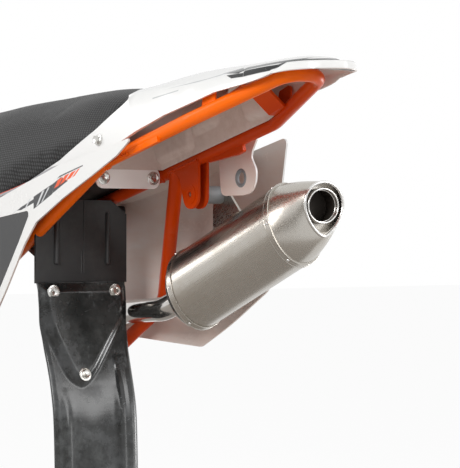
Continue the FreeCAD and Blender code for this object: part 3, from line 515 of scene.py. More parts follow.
@dataclass(frozen=True)
class Plastic(Finish):
    """Injection-moulded plastic, glossy or grained."""

    grain: float = 0.0
    dusty: Colour = (0.62, 0.60, 0.57)
    dust: float = 0.15
    ripple: float = 0.0002

    def dress(self, coat: Coat) -> None:
        """Adds dust in patches, and grain or the slight ripple of a glossy face.

        Args:
            coat: The material's board.
        """
        dust = coat.handled(9.0, self.dust)
        coat.put("Base Color", coat.mix(dust, self.colour, self.dusty))
        coat.put("Roughness", coat.ramp(dust, 0.0, 0.4, (self.rough, self.rough + 0.3)))
        if self.grain:
            height = coat.group(coat.effects.grain, "Height", Scale=900.0)
            coat.put("Normal", coat.bump(height, self.grain))
        else:
            coat.put("Normal", coat.bump(coat.noise(coat.place(), 60.0), self.ripple, 0.35))


@dataclass(frozen=True)
class PanelPlastic(Plastic):
    """White body plastic with painted shade, tinted by orange bounce light, on the faces that point down
    or towards the machine.
    """

    # painted shade and orange bounce light: the tan of the inner faces
    painted_bounce_shade: Colour = (0.74, 0.58, 0.51)

    def dress(self, coat: Coat) -> None:
        """Adds painted shade and orange bounce light, in streaks, on the inner faces.

        Args:
            coat: The material's board.
        """
        super().dress(coat)
        plain = coat.colour()
        at = coat.vector("MULTIPLY", coat.place(), (3.0, 3.0, 9.0))
        streaks = coat.ramp(coat.noise(at, 4.0, 4.0, 0.6), 0.25, 0.75, (0.45, 1.0))
        # painted shade: faces that point down or inward are tinted tan, in streaks
        bounce_shade_mask = coat.times(self.inner(coat), streaks)
        coat.put("Base Color", coat.mix(bounce_shade_mask, plain, self.painted_bounce_shade))

    @staticmethod
    def inner(coat: Coat) -> Socket:
        """Masks the faces that point down or towards the middle of the machine.

        Args:
            coat: The material's board.

        Returns:
            The mask.
        """
        _, away, _ = coat.parts(coat.place())
        _, across, up = coat.parts(coat.add("TexCoord").outputs["Normal"])
        inward = coat.times(across, coat.sum("SIGN", away), -1.0)
        return coat.ramp(coat.sum("MAXIMUM", inward, coat.times(up, -1.0)), 0.25, 0.6)


@dataclass(frozen=True)
class Graphic:
    """One colour of a print: convex outlines on a side view, X and Z in millimetres."""

    colour: Colour
    outlines: tuple[Outline, ...]


@dataclass(frozen=True)
class PrintedPlastic(PanelPlastic):
    """White body plastic with a plain jagged graphic on its outer face."""

    graphics: tuple[Graphic, ...] = ()

    def dress(self, coat: Coat) -> None:
        """Adds the print, a little worn, over the plastic's own look.

        Args:
            coat: The material's board.
        """
        super().dress(coat)
        x, _, z = coat.parts(coat.place())
        flat = coat.joined(x, z)
        outer = coat.sum("SUBTRACT", 1.0, self.inner(coat))
        worn = coat.ramp(coat.noise(coat.place(), 220.0, 3.0, 0.7), 0.22, 0.34)
        colour = coat.colour()
        for graphic in self.graphics:
            mask = coat.union([coat.inside(flat, corners) for corners in graphic.outlines])
            colour = coat.mix(coat.times(mask, outer, worn), colour, graphic.colour)
        coat.put("Base Color", colour)


@dataclass(frozen=True)
class FlapPlastic(Plastic):
    """Glossy black plastic with fine scratches and scuffs."""

    worn: Colour = (0.16, 0.17, 0.18)
    scratches: tuple[Flat, ...] = ((0.35, 46.0), (-0.5, 60.0), (1.4, 38.0))  # lean, how many

    def scratch(self, coat: Coat, lean: float, scale: float) -> Socket:
        """Masks the scratches of one direction.

        Args:
            coat: The material's board.
            lean: How they are turned, in radians.
            scale: How close they lie.

        Returns:
            The mask.
        """
        _, y, z = coat.parts(coat.place())
        cos, sin = math.cos(lean), math.sin(lean)
        run = coat.sum("ADD", coat.times(y, cos), coat.times(z, sin))
        side = coat.sum("SUBTRACT", coat.times(z, cos), coat.times(y, sin))
        thin = coat.noise(coat.joined(coat.times(run, 0.12), side, lean), scale * 12.0, 1.0, 0.3)
        patchy = coat.noise(coat.joined(run, side, lean * 3.0), scale * 0.5)
        return coat.times(coat.ramp(thin, 0.74, 0.80), coat.ramp(patchy, 0.52, 0.62))

    def dress(self, coat: Coat) -> None:
        """Adds scratches in three directions and dull scuffed patches.

        Args:
            coat: The material's board.
        """
        super().dress(coat)
        plain = coat.colour()
        scratches = coat.union([self.scratch(coat, *marks) for marks in self.scratches])
        scuff = coat.ramp(coat.noise(coat.place(), 14.0, 6.0, 0.7), 0.50, 0.74, (0.0, 0.4))
        pale = coat.sum("MAXIMUM", coat.times(scratches, 0.7), scuff)
        dull = coat.sum("MAXIMUM", scratches, scuff)
        coat.put("Base Color", coat.mix(pale, plain, self.worn))
        coat.put("Roughness", coat.ramp(dull, 0.0, 0.5, (self.rough, self.rough + 0.3)))


@dataclass(frozen=True)
class SeatCloth(Finish):
    """Coated grip cloth: rows of small raised diamonds."""

    pitch: float = 0.0066
    rows: float = 0.0046
    height: float = 0.0005
    # painted shade in the grooves, as a share of the cloth's colour
    shade: float = 0.12

    def dress(self, coat: Coat) -> None:
        """Adds the raised pattern, with painted shade that darkens it between the diamonds, where it is
        also dull.

        Args:
            coat: The material's board.
        """
        x, y, z = coat.parts(coat.place())
        along = coat.times(x, math.pi / self.pitch)
        down = coat.times(coat.sum("ADD", z, y), math.pi / self.rows)
        falling = coat.sum("SINE", coat.sum("ADD", along, down))
        rising = coat.sum("SINE", coat.sum("SUBTRACT", along, down))
        raised = coat.ramp(coat.times(falling, rising), -0.1, 0.5)
        # painted shade: the grooves between the diamonds are darkened
        groove = tuple(c * self.shade for c in self.colour)
        coat.put("Base Color", coat.mix(raised, groove, self.colour))
        coat.put("Normal", coat.bump(raised, self.height))
        coat.put("Roughness", coat.ramp(raised, 0.0, 1.0, (self.rough + 0.15, self.rough)))
        coat.put("Specular IOR Level", 0.35)


@dataclass(frozen=True)
class Metal(Finish):
    """Bare metal, brushed along one direction or plain."""

    along: Point = (1.0, 0.0, 0.0)
    scratch: float = 0.00001
    tint: Colour = (0.45, 0.38, 0.30)

    def dress(self, coat: Coat) -> None:
        """Adds brushing, faint heat tint and smears.

        Args:
            coat: The material's board.
        """
        smear = coat.handled(8.0, 0.5)
        lines = coat.group(coat.effects.brushing, "Lines", Along=self.along, Scale=700.0, Draw=0.02)
        brushed = coat.ramp(lines, 0.3, 0.7, (self.rough - 0.05, self.rough + 0.07))
        coat.put("Base Color", coat.mix(smear, self.colour, self.tint))
        coat.put("Roughness", coat.sum("ADD", brushed, coat.times(smear, 0.15)))
        if self.scratch:
            coat.put("Normal", coat.bump(lines, self.scratch, 0.5))


@dataclass(frozen=True)
class SootySteel(Metal):
    """The tail pipe: bright at its lip, dark with soot further in."""

    mouth: Point = (0.567, 0.172, 0.017)
    facing: Point = OUTLET_AXIS
    soot: Colour = (0.035, 0.028, 0.022)

    def dress(self, coat: Coat) -> None:
        """Adds soot by the depth behind the mouth.

        Args:
            coat: The material's board.
        """
        super().dress(coat)
        plain = coat.colour()
        behind = coat.vector("SUBTRACT", coat.place(), self.mouth)
        depth = coat.vector("DOT_PRODUCT", behind, self.facing)
        patchy = coat.sum("SUBTRACT", coat.noise(coat.place(), 90.0, 3.0), 0.5)
        uneven = coat.sum("ADD", depth, coat.times(patchy, 0.008))
        soot = coat.ramp(uneven, -0.012, -0.004, (1.0, 0.0))
        coat.put("Base Color", coat.mix(soot, plain, self.soot))
        coat.put("Metallic", coat.ramp(soot, 0.0, 1.0, (1.0, 0.35)))
        coat.put("Roughness", coat.ramp(soot, 0.0, 1.0, (self.rough, 0.6)))


@dataclass(frozen=True)
class Weld(Metal):
    """A weld seam, bright along its ripples and straw-brown beside them."""

    straw: Colour = (0.34, 0.20, 0.09)

    def dress(self, coat: Coat) -> None:
        """Adds heat colours in small patches.

        Args:
            coat: The material's board.
        """
        super().dress(coat)
        burnt = coat.ramp(coat.noise(coat.place(), 160.0), 0.45, 0.7)
        coat.put("Base Color", coat.mix(burnt, self.colour, self.straw))


@dataclass
class Wardrobe:
    """Every material of the object, by slot, and the special ones of single pieces."""

    effects: Effects
    made: dict[Slot, bpy.types.Material] = field(default_factory=dict)
    by_node: dict[str, bpy.types.Material] = field(init=False)
    tray: bpy.types.Material = field(init=False)
    bright: bpy.types.Material = field(init=False)
    weld: bpy.types.Material = field(init=False)

    PANEL_PRINT: ClassVar[tuple[Graphic, ...]] = (
        Graphic((0.035, 0.037, 0.04), (
            ((84.0, -8.0), (164.0, 13.0), (206.0, 15.0), (206.0, 34.0), (165.0, 18.0), (96.0, -2.0)),
            ((204.0, 14.0), (262.0, 36.0), (262.0, 51.0), (204.0, 33.0)),
            ((260.0, 36.0), (309.0, 55.0), (289.0, 61.0), (260.0, 50.0)),
            ((277.0, 59.0), (350.0, 75.6), (350.0, 77.2), (285.0, 63.0)),
        )),
        Graphic((0.62, 0.63, 0.64), (
            ((176.0, 15.0), (181.0, 16.5), (196.0, 31.0), (190.0, 29.0)),
            ((212.0, 18.0), (219.0, 21.0), (238.0, 42.5), (231.0, 41.0)),
            ((228.0, 24.0), (232.0, 25.5), (254.0, 47.0), (249.0, 46.0)),
            ((128.0, 4.0), (134.0, 5.5), (152.0, 13.6), (147.0, 12.4)),
        )),
        Graphic((0.80, 0.09, 0.012), (
            ((268.0, 44.5), (281.0, 48.0), (296.0, 62.0), (280.0, 57.0)),
            ((285.0, 49.2), (298.0, 53.5), (314.0, 66.4), (300.0, 63.2)),
            ((302.0, 54.8), (316.0, 58.6), (332.0, 70.4), (318.0, 67.2)),
            ((320.0, 59.5), (328.0, 62.0), (343.0, 73.2), (336.0, 71.3)),
        )),
    )
    FENDER_PRINT: ClassVar[tuple[Graphic, ...]] = (
        Graphic((0.010, 0.011, 0.012), (
            ((676.0, 183.5), (700.0, 184.2), (700.0, 189.5), (664.0, 188.5)),
            ((700.0, 184.2), (748.0, 189.0), (766.0, 197.5), (700.0, 193.0)),
            ((748.0, 189.0), (764.0, 193.0), (812.0, 203.0), (766.0, 203.0)),
            ((640.0, 193.0), (690.0, 189.0), (700.0, 193.5), (668.0, 199.5)),
            ((690.0, 193.0), (772.0, 200.0), (790.0, 205.5), (682.0, 199.0)),
            ((764.0, 196.5), (838.0, 193.5), (838.0, 203.0), (782.0, 203.5)),
        )),
        Graphic((0.45, 0.46, 0.47), (
            ((541.0, 179.0), (600.0, 183.8), (640.0, 189.5), (600.0, 186.0)),
            ((600.0, 184.0), (642.0, 190.0), (690.0, 200.8), (636.0, 191.6)),
            ((500.0, 166.0), (560.0, 174.0), (560.0, 175.2), (500.0, 167.6)),
        )),
        Graphic((0.33, 0.33, 0.34), (
            ((74.0, 31.0), (158.0, 53.0), (158.0, 57.0), (74.0, 37.5)),
            ((158.0, 53.0), (262.0, 80.0), (240.0, 77.5), (158.0, 57.0)),
        )),
        Graphic((0.62, 0.05, 0.01), (
            ((74.0, 36.0), (158.0, 55.0), (158.0, 56.2), (74.0, 37.4)),
        )),
    )
    WHITE: ClassVar[Colour] = (0.80, 0.80, 0.79)
    WHITE_ROUGH: ClassVar[float] = 0.24
    WHITE_DUST: ClassVar[float] = 0.08

    FINISHES: ClassVar[dict[Slot, Finish]] = {
        Slot.FRAME: Paint("frame_orange", (0.98, 0.150, 0.002), 0.30),
        Slot.WHITE: PanelPlastic("white_plastic", WHITE, WHITE_ROUGH, dust=WHITE_DUST),
        Slot.BLACK: Plastic("black_plastic", (0.020, 0.020, 0.021), 0.42, grain=0.00010,
                            dust=0.16, dusty=(0.13, 0.13, 0.12)),
        Slot.FLAP: FlapPlastic("flap_plastic", (0.013, 0.014, 0.014), 0.23, dust=0.55,
                               dusty=(0.16, 0.17, 0.17)),
        Slot.SEAT: SeatCloth("seat_cover", (0.028, 0.028, 0.029), 0.40),
        Slot.STEEL: Metal("silencer_steel", (0.50, 0.475, 0.435), 0.26, 1.0, along=CAN_AXIS,
                          scratch=0.0, tint=(0.36, 0.31, 0.25)),
        Slot.CHROME: Metal("pipe_chrome", (0.62, 0.60, 0.58), 0.09, 1.0, scratch=0.000002),
        Slot.ZINC: Metal("fastener_zinc", (0.66, 0.66, 0.64), 0.24, 1.0, scratch=0.000004),
        Slot.RUBBER: Plastic("bush_rubber", (0.20, 0.21, 0.22), 0.55, grain=0.00008, dust=0.2),
    }
    NODE_FINISHES: ClassVar[dict[str, Finish]] = {
        "left_side_panel": PrintedPlastic("panel_print", WHITE, WHITE_ROUGH, dust=WHITE_DUST,
                                          graphics=PANEL_PRINT),
        "rear_fender": PrintedPlastic("fender_print", WHITE, WHITE_ROUGH, dust=WHITE_DUST,
                                      graphics=FENDER_PRINT),
        "silencer_outlet_tube": SootySteel("sooty_steel", (0.40, 0.37, 0.34), 0.25, 1.0,
                                           along=CAN_AXIS),
        "left_panel_insert": Plastic("insert_plastic", (0.018, 0.018, 0.019), 0.22, dust=0.12,
                                     dusty=(0.10, 0.10, 0.10)),
        "fender_mount_plate": Plastic("plate_paint", (0.98, 0.94, 0.92), 0.38, dust=0.05),
    }
    # painted shade and orange bounce light: the tray is the white plastic made darker and pinker for its
    # place under the fender; its darker patches are dust
    SHADED_TRAY: ClassVar[Finish] = Plastic("tray_plastic_painted_shade", (0.72, 0.60, 0.55), 0.30, dust=0.5,
                                     dusty=(0.50, 0.36, 0.30))
    BRIGHT: ClassVar[Finish] = Metal("bright_steel", (0.72, 0.71, 0.69), 0.16, 1.0,
                                     along=CAN_AXIS, scratch=0.000004)
    SEAM: ClassVar[Finish] = Weld("weld_seam", (0.50, 0.44, 0.36), 0.34, 1.0, scratch=0.00002)

    def __post_init__(self) -> None:
        """Makes the materials that belong to single pieces."""
        self.by_node = {node: finish.make(self.effects) for node, finish in self.NODE_FINISHES.items()}
        self.tray = self.SHADED_TRAY.make(self.effects)
        self.bright = self.BRIGHT.make(self.effects)
        self.weld = self.SEAM.make(self.effects)

    def get(self, slot: Slot) -> bpy.types.Material:
        """Gives a slot's material, made on first use.

        Args:
            slot: The slot.

        Returns:
            Its material.
        """
        if slot not in self.made:
            self.made[slot] = self.FINISHES[slot].make(self.effects)
        return self.made[slot]

    def dress_nodes(self, frame: dict) -> None:
        """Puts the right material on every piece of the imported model.
        """
        slots = {part["node"]: Slot(part["material_slot"]) for part in frame["record"]["subparts"]}
        for name, thing in frame["nodes"].items():
            thing.data.materials.clear()
            thing.data.materials.append(self.by_node.get(name) or self.get(slots[name]))
            log.info("dressed %s in %s", name, slots[name].value)


def adopt(name: str, mesh: bpy.types.Mesh, material: bpy.types.Material) -> bpy.types.Object:
    """Makes a finished mesh a piece, shaded smooth between its sharp edges.

    Args:
        name: The piece's name.
        mesh: Its mesh, in metres.
        material: Its material.

    Returns:
        The piece, riding on the body.
    """
    mesh.materials.clear()
    mesh.materials.append(material)
    mesh.polygons.foreach_set("use_smooth", [True] * len(mesh.polygons))
    mesh.set_sharp_from_angle(angle=SHARP_ANGLE)
    thing = bpy.data.objects.new(name, mesh)
    bpy.context.collection.objects.link(thing)
    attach(thing, BODY)
    log.info("made %s, %d faces", name, len(mesh.polygons))
    return thing


def final_mesh(thing: bpy.types.Object) -> bpy.types.Mesh:
    """Gives the mesh that an object's modifiers, or a curve's thickness, make of it."""
    bpy.context.view_layer.update()
    return bpy.data.meshes.new_from_object(thing.evaluated_get(bpy.context.evaluated_depsgraph_get()))


def thicken(thing: bpy.types.Object, gauge: float, offset: float) -> None:
    """Gives a sheet its thickness.

    Args:
        thing: The sheet.
        gauge: Its thickness in millimetres.
        offset: -1 to thicken it behind its face, 0 to both sides.
    """
    thick = thing.modifiers.new("gauge", "SOLIDIFY")
    thick.thickness = gauge / MM
    thick.offset = offset


class Shape:
    """A mesh in the making, in metres."""

    def __init__(self) -> None:
        """Starts empty."""
        self.form = bmesh.new()

    def sheet(self, columns: int, rows: int) -> list[tuple[bmesh.types.BMVert, float, float]]:
        """Adds a flat grid.

        Args:
            columns: How many rows of faces it has along X.
            rows: How many it has along Y.

        Returns:
            Its vertices, each with its two places on the grid, from 0 to 1.
        """
        made = bmesh.ops.create_grid(self.form, x_segments=columns, y_segments=rows, size=0.5)
        return [(vert, vert.co.x + 0.5, vert.co.y + 0.5) for vert in made["verts"]]

    def copied(self, mesh: bpy.types.Mesh) -> None:
        """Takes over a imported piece's loose triangles, joined at their corners."""
        self.form.from_mesh(mesh)
        bmesh.ops.remove_doubles(self.form, verts=self.form.verts, dist=1e-5)

    def cone(self, low: float, high: float, depth: float, sides: int,
             base: Matrix) -> list[bmesh.types.BMVert]:
        """Adds a closed round or many-sided length.

        Args:
            low: Radius at its foot.
            high: Radius at its top.
            depth: Its length.
            sides: How many sides it has.
            base: Where its foot's middle is, with Z along its axis.

        Returns:
            Its vertices.
        """
        place = base @ Matrix.Translation((0.0, 0.0, depth / 2))
        made = bmesh.ops.create_cone(self.form, cap_ends=True, segments=sides, radius1=low,
                                     radius2=high, depth=depth, matrix=place)
        return made["verts"]

    def soften(self, verts: Iterable[bmesh.types.BMVert], reach: float, steps: int = 2,
               sharp: float = 0.6) -> None:
        """Rounds the sharp edges among some vertices.

        Args:
            verts: The vertices.
            reach: How wide the rounding is.
            steps: How many faces it has across.
            sharp: The angle in radians from which an edge is sharp.
        """
        chosen = set(verts)
        edges = [e for e in self.form.edges
                 if e.verts[0] in chosen and e.verts[1] in chosen and e.calc_face_angle(0.0) > sharp]
        bmesh.ops.bevel(self.form, geom=edges, offset=reach, offset_type="OFFSET", segments=steps,
                        profile=0.5, affect="EDGES", material=-1, clamp_overlap=True)

    def piece(self, name: str, material: bpy.types.Material, slot: Slot) -> bpy.types.Object:
        """Turns the mesh's faces outwards and makes it a piece of the object.

        Args:
            name: The piece's name.
            material: Its material.
            slot: The record's slot that its finish stands for; not used.

        Returns:
            The piece, riding on the body.
        """
        bmesh.ops.recalc_face_normals(self.form, faces=self.form.faces)
        mesh = bpy.data.meshes.new(name)
        self.form.to_mesh(mesh)
        self.form.free()
        return adopt(name, mesh, material)


class Beads:
    """Round lines drawn along points: weld seams and rolled lips. Lengths in millimetres."""

    def __init__(self) -> None:
        """Starts a curve with no lines."""
        self.curve = bpy.data.curves.new("beads", "CURVE")
        self.curve.dimensions = "3D"
        self.curve.bevel_depth = 1 / MM
        self.curve.bevel_resolution = 3
        self.curve.use_fill_caps = True

    def add(self, points: Sequence[Sequence[float]], radius: float, closed: bool = False,
            ripple: float = 0.0) -> None:
        """Adds one line.

        Args:
            points: Its points.
            radius: Its radius.
            closed: Whether it comes back to its start.
            ripple: How strongly its thickness beats from point to point.
        """
        line = self.curve.splines.new("POLY")
        line.points.add(len(points) - 1)
        line.use_cyclic_u = closed
        for i, (point, place) in enumerate(zip(line.points, points)):
            point.co = (*(Vector(place) / MM), 1.0)
            point.radius = radius * (1 + ripple * math.sin(i * 2.1) + ripple * 0.5 * math.sin(i * 0.77))

    def piece(self, name: str, material: bpy.types.Material, slot: Slot) -> bpy.types.Object:
        """Turns the lines into one mesh piece.

        Args:
            name: The piece's name.
            material: Its material.
            slot: The record's slot that its finish stands for; not used.

        Returns:
            The piece, riding on the body.
        """
        carrier = bpy.data.objects.new(name + "_line", self.curve)
        bpy.context.collection.objects.link(carrier)
        mesh = final_mesh(carrier)
        bpy.data.objects.remove(carrier)
        mesh.name = name
        return adopt(name, mesh, material)


@dataclass
class SeatCover:
    """The cushion: foam swollen under a stretched cover. Lengths in metres."""

    plain: bpy.types.Object
    voxel: float = 0.006
    pressure: float = 3.0
    travel: float = 0.006
    frames: int = 14
    bend: float = 0.03  # where the pan's line turns up to the front
    rear_line: Flat = (0.0169, 0.229)  # height at X = 0, slope
    front_line: Flat = (0.0238, -0.318)  # height at the bend, slope
    # the wedge that fills the front, in millimetres: X, half width, foot
    nose: Point = (-254.0, 61.0, 115.0)
    heel: Point = (-121.0, 71.0, 74.0)
    nose_top: float = 158.0

    def build(self, wardrobe: Wardrobe) -> None:
        """Copies the plain cushion, swells it as cloth and rounds it.

        Args:
            wardrobe: The materials.
        """
        shape = Shape()
        shape.copied(self.plain.data)
        for vert in bmesh.ops.create_cube(shape.form, size=2.0)["verts"]:
            x, half, foot = self.nose if vert.co.x < 0 else self.heel
            height = self.nose_top if vert.co.z > 0 else foot
            vert.co = Vector((x, vert.co.y * half, height)) / MM
        mesh = bpy.data.meshes.new("seat_cover")
        shape.form.to_mesh(mesh)
        shape.form.free()
        cover = adopt("seat_cover", mesh, wardrobe.get(Slot.SEAT))
        foam = cover.modifiers.new("foam", "REMESH")
        foam.mode = "VOXEL"
        foam.voxel_size = self.voxel
        foam.use_smooth_shade = True
        self.apply(cover)
        self.swell(cover)
        smooth = cover.modifiers.new("soften", "SMOOTH")
        smooth.factor, smooth.iterations = 0.5, 6
        self.apply(cover)
        self.settle(cover)
        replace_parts(cover, "seat_cushion")

    @staticmethod
    def apply(thing: bpy.types.Object) -> None:
        """Replaces a piece's mesh with what its modifiers make of it.

        Args:
            thing: The piece.
        """
        made = final_mesh(thing)
        made.materials.clear()
        made.materials.append(thing.data.materials[0])
        thing.modifiers.clear()
        thing.data = made

    def swell(self, cover: bpy.types.Object) -> None:
        """Lets the cover bulge under pressure, and caps how far each point moves.

        Args:
            cover: The cover.
        """
        start = [v.co.copy() for v in cover.data.vertices]
        cloth = cover.modifiers.new("cover", "CLOTH")
        cloth.settings.use_pressure = True
        cloth.settings.uniform_pressure_force = self.pressure
        cloth.settings.effector_weights.gravity = 0.0
        cloth.settings.quality = 5
        cloth.settings.tension_stiffness = 30
        cloth.settings.compression_stiffness = 30
        cloth.settings.bending_stiffness = 8
        cloth.collision_settings.use_collision = False
        cloth.point_cache.frame_start, cloth.point_cache.frame_end = 1, self.frames
        scene = bpy.context.scene
        for step in range(1, self.frames + 1):
            scene.frame_set(step)
        self.apply(cover)
        scene.frame_set(1)
        for vert, home in zip(cover.data.vertices, start):
            shift = vert.co - home
            if shift.length > self.travel:
                vert.co = home + shift.normalized() * self.travel

    def settle(self, cover: bpy.types.Object) -> None:
        """Presses the cover flat on the line of the seat's pan.

        Args:
            cover: The cover.
        """
        for vert in cover.data.vertices:
            ahead = vert.co.x < self.bend
            height, slope = self.front_line if ahead else self.rear_line
            floor = height + slope * (vert.co.x - (self.bend if ahead else 0.0))
            vert.co.z = max(vert.co.z, floor)


@dataclass
class FenderShell:
    """The fender with its tail rounded in plan, and its lip. Lengths in millimetres."""

    plain: bpy.types.Object
    # a corner is drawn in by how far it reaches out along this slanting line
    middle: float = 574.5
    slant: Flat = (0.574, 0.819)
    start: float = 140.0
    share: float = 0.58
    lip_height: float = 11.0
    lip_gauge: float = 2.2
    lean: float = 1.8

    # the tail's lower edge from its side to its end: across, X, height
    PLAN: ClassVar[tuple[Point, ...]] = (
        (-58.6, 750.0, 185.2), (-54.4, 764.0, 186.6), (-49.8, 779.0, 187.8), (-43.2, 796.0, 188.3),
        (-36.6, 810.0, 188.4), (-26.5, 821.5, 188.4), (-13.5, 830.5, 188.4), (0.0, 834.6, 188.4))

    def build(self, wardrobe: Wardrobe) -> None:
        """Copies the plain shell, draws its tail corners in and adds the lip.

        Args:
            wardrobe: The materials.
        """
        shape = Shape()
        shape.copied(self.plain.data)
        for vert in shape.form.verts:
            reach = (self.slant[0] * (vert.co.x * MM - self.middle)
                     + self.slant[1] * abs(vert.co.y) * MM)
            if reach > self.start:
                vert.co.x -= (reach - self.start) * (1 - self.share) / (self.slant[0] * MM)
        shell = shape.piece("fender_shell", wardrobe.by_node["rear_fender"], Slot.WHITE)
        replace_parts(shell, "rear_fender")
        self.lip(wardrobe)

    def edge(self, share: float) -> Vector:
        """Gives a point of the tail's lower edge.

        Args:
            share: Where on it, from the rider's left (0) to the right (1).

        Returns:
            The point.
        """
        side = -1 if share < 0.5 else 1
        at = (1 - abs(share * 2 - 1)) * (len(self.PLAN) - 1)
        first = min(int(at), len(self.PLAN) - 2)
        y, x, z = Vector(self.PLAN[first]).lerp(Vector(self.PLAN[first + 1]), at - first)
        return Vector((x, -side * y, z))

    def lip(self, wardrobe: Wardrobe) -> None:
        """Makes the upright lip round the tail's end, low at its sides.

        Args:
            wardrobe: The materials.
        """
        shape = Shape()
        for vert, share, rise in shape.sheet(84, 6):
            near = (self.edge(held(share + d)) for d in (-0.02, -0.01, 0.0, 0.01, 0.02))
            foot = sum(near, Vector()) / 5
            height = self.lip_height * min(1.0, (1 - abs(share * 2 - 1)) * 3.5 + 0.08)
            lean = self.lean * rise * rise
            foot -= Vector((lean * 0.8, math.copysign(lean * 0.6, foot.y), 0.0))
            vert.co = (foot + Vector((0.0, 0.0, height * rise))) / MM
        lip = shape.piece("fender_tail_lip", wardrobe.get(Slot.WHITE), Slot.WHITE)
        thicken(lip, self.lip_gauge, 0.0)


@dataclass
class MudFlap:
    """The hanging flap with its raised shield and its ridges. Lengths in millimetres."""

    top: float = -100.0
    low: float = -474.0
    gauge: float = 3.0
    rise: float = 11.0
    shoulder: float = 19.0
    softness: float = 3.5
    corner: float = 30.0
    corner_rise: float = 36.0
    foot: float = 60.0
    # the shield's lower point: across, half width
    point: Flat = (-16.0, 62.0)
    # where the ridges start and over what height they come up: under the point, beside it
    ridges_under: Flat = (-262.0, 60.0)
    ridges_beside: Flat = (-215.0, 50.0)
    # the turned-back edge: depth, width, and the same two heights
    edge: Flat = (5.0, 9.0)
    edge_below: Flat = (-150.0, 60.0)

    # the shield's outline: across, height
    SHIELD: ClassVar[Outline] = (
        (-83.0, -98.0), (-82.0, -152.0), (-44.0, -252.0), (-18.0, -268.0), (8.0, -252.0),
        (84.0, -152.0), (84.0, -98.0))
    # the sheet's side view and its two edges: height, value
    LINE: ClassVar[Outline] = (
        (-88.0, 164.3), (-108.0, 164.8), (-165.0, 170.5), (-200.0, 179.5), (-235.0, 190.0),
        (-268.0, 200.5), (-300.0, 208.5), (-345.0, 212.0), (-390.0, 214.0), (-475.0, 218.0))
    LEFT: ClassVar[Outline] = (
        (-88.0, -80.0), (-165.0, -78.0), (-200.0, -74.0), (-240.0, -71.5), (-300.0, -73.0),
        (-475.0, -74.0))
    RIGHT: ClassVar[Outline] = ((-88.0, 80.0), (-180.0, 80.0), (-300.0, 78.5), (-475.0, 77.0))
    # the ridges below the shield: middle across, width, rise
    RIDGES: ClassVar[tuple[Point, ...]] = (
        (46.0, 9.0, 5.5), (-52.0, 8.0, 4.5), (62.0, 7.0, 3.0), (-4.0, 30.0, 4.0))

    @staticmethod
    def read(table: Outline, z: float) -> float:
        """Reads a table in straight runs.

        Args:
            table: Pairs of height and value, from the top down.
            z: The height to read it at.

        Returns:
            The value there.
        """
        for (z0, a), (z1, b) in zip(table, table[1:]):
            if z >= z1:
                return a + (b - a) * (z0 - z) / (z0 - z1)
        return table[-1][1]

    def smooth(self, table: Outline, z: float) -> float:
        """Reads a table with its corners rounded."""
        return sum(self.read(table, z + d) for d in (-14, -7, 0, 7, 14)) / 5

    def shield(self, y: float, z: float) -> float:
        """Gives how far a place lies inside the shield's outline, with soft corners.

        Args:
            y: Where it is across.
            z: Its height.

        Returns:
            The distance, less than 0 outside.
        """
        near = 0.0
        for (ay, az), (by, bz) in zip(self.SHIELD, (*self.SHIELD[1:], self.SHIELD[0])):
            reach = math.hypot(by - ay, bz - az)
            side = (az - bz) * (y - ay) + (by - ay) * (z - az)
            near += math.exp(-side / reach / self.softness)
        return -self.softness * math.log(near)

    def relief(self, y: float, z: float) -> float:
        """Gives the height of the face over the plain sheet.

        Args:
            y: Where it is across.
            z: Its height.

        Returns:
            The shield's and the ridges' rise, less the turned-back edge.
        """
        height = self.rise * eased(self.shield(y, z), 0.0, self.shoulder)
        under_point = abs(y - self.point[0]) < self.point[1]
        start, over = self.ridges_under if under_point else self.ridges_beside
        below = held((start - z) / over)
        for middle, width, rise in self.RIDGES:
            height += rise * below * math.exp(-((y - middle) / width) ** 2)
        near = min(y - self.read(self.LEFT, z), self.read(self.RIGHT, z) - y)
        depth, width = self.edge
        start, over = self.edge_below
        return height - depth * max(0.0, 1 - near / width) ** 2 * held((start - z) / over)

    def face(self, y: float, z: float) -> float:
        """Gives how far back the flap's face lies at a place."""
        return self.smooth(self.LINE, z) + self.relief(y, z)

    def build(self, wardrobe: Wardrobe) -> None:
        """Makes the flap from a fine grid, with round lower corners, and its rim.

        Args:
            wardrobe: The materials.
        """
        shape = Shape()
        for vert, share, up in shape.sheet(80, 176):
            z = self.top + (self.low - self.top) * (1.0 - up)
            left, right = self.smooth(self.LEFT, z), self.smooth(self.RIGHT, z)
            y = left + (right - left) * share
            inset = (right - left) / 2 - self.corner
            corner = max(0.0, (abs(y - (left + right) / 2) - inset) / self.corner)
            low = max(0.0, (self.low + self.foot - z) / self.foot)
            z += self.corner_rise * low * (1 - math.sqrt(max(0.0, 1 - corner * corner)))
            vert.co = Vector((self.face(y, z), y, z)) / MM
        flap = shape.piece("flap_moulding", wardrobe.get(Slot.FLAP), Slot.FLAP)
        thicken(flap, self.gauge, -1.0)
        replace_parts(flap, "mud_flap")
        self.rim(wardrobe)

    def rim(self, wardrobe: Wardrobe) -> None:
        """Makes the thin raised line round the flap's upper part.

        Args:
            wardrobe: The materials.
        """
        climb = [-160.0 + 3.0 * i for i in range(19)]
        fall = [-108.0 - 3.0 * i for i in range(18)]
        path = [(self.smooth(self.LEFT, z) + 1.2, z) for z in climb]
        path += [(-76.0, -102.6), (-71.0, -100.9)]
        path += [(-66.0 + 6.0 * i, -100.6) for i in range(23)]
        path += [(72.0, -101.0), (76.5, -103.6)]
        path += [(self.smooth(self.RIGHT, z) - 1.2, z) for z in fall]
        rim = Beads()
        rim.add([(self.face(y, z) + 0.3, y, z) for y, z in path], 1.1)
        rim.piece("flap_rim", wardrobe.get(Slot.FLAP), Slot.FLAP)


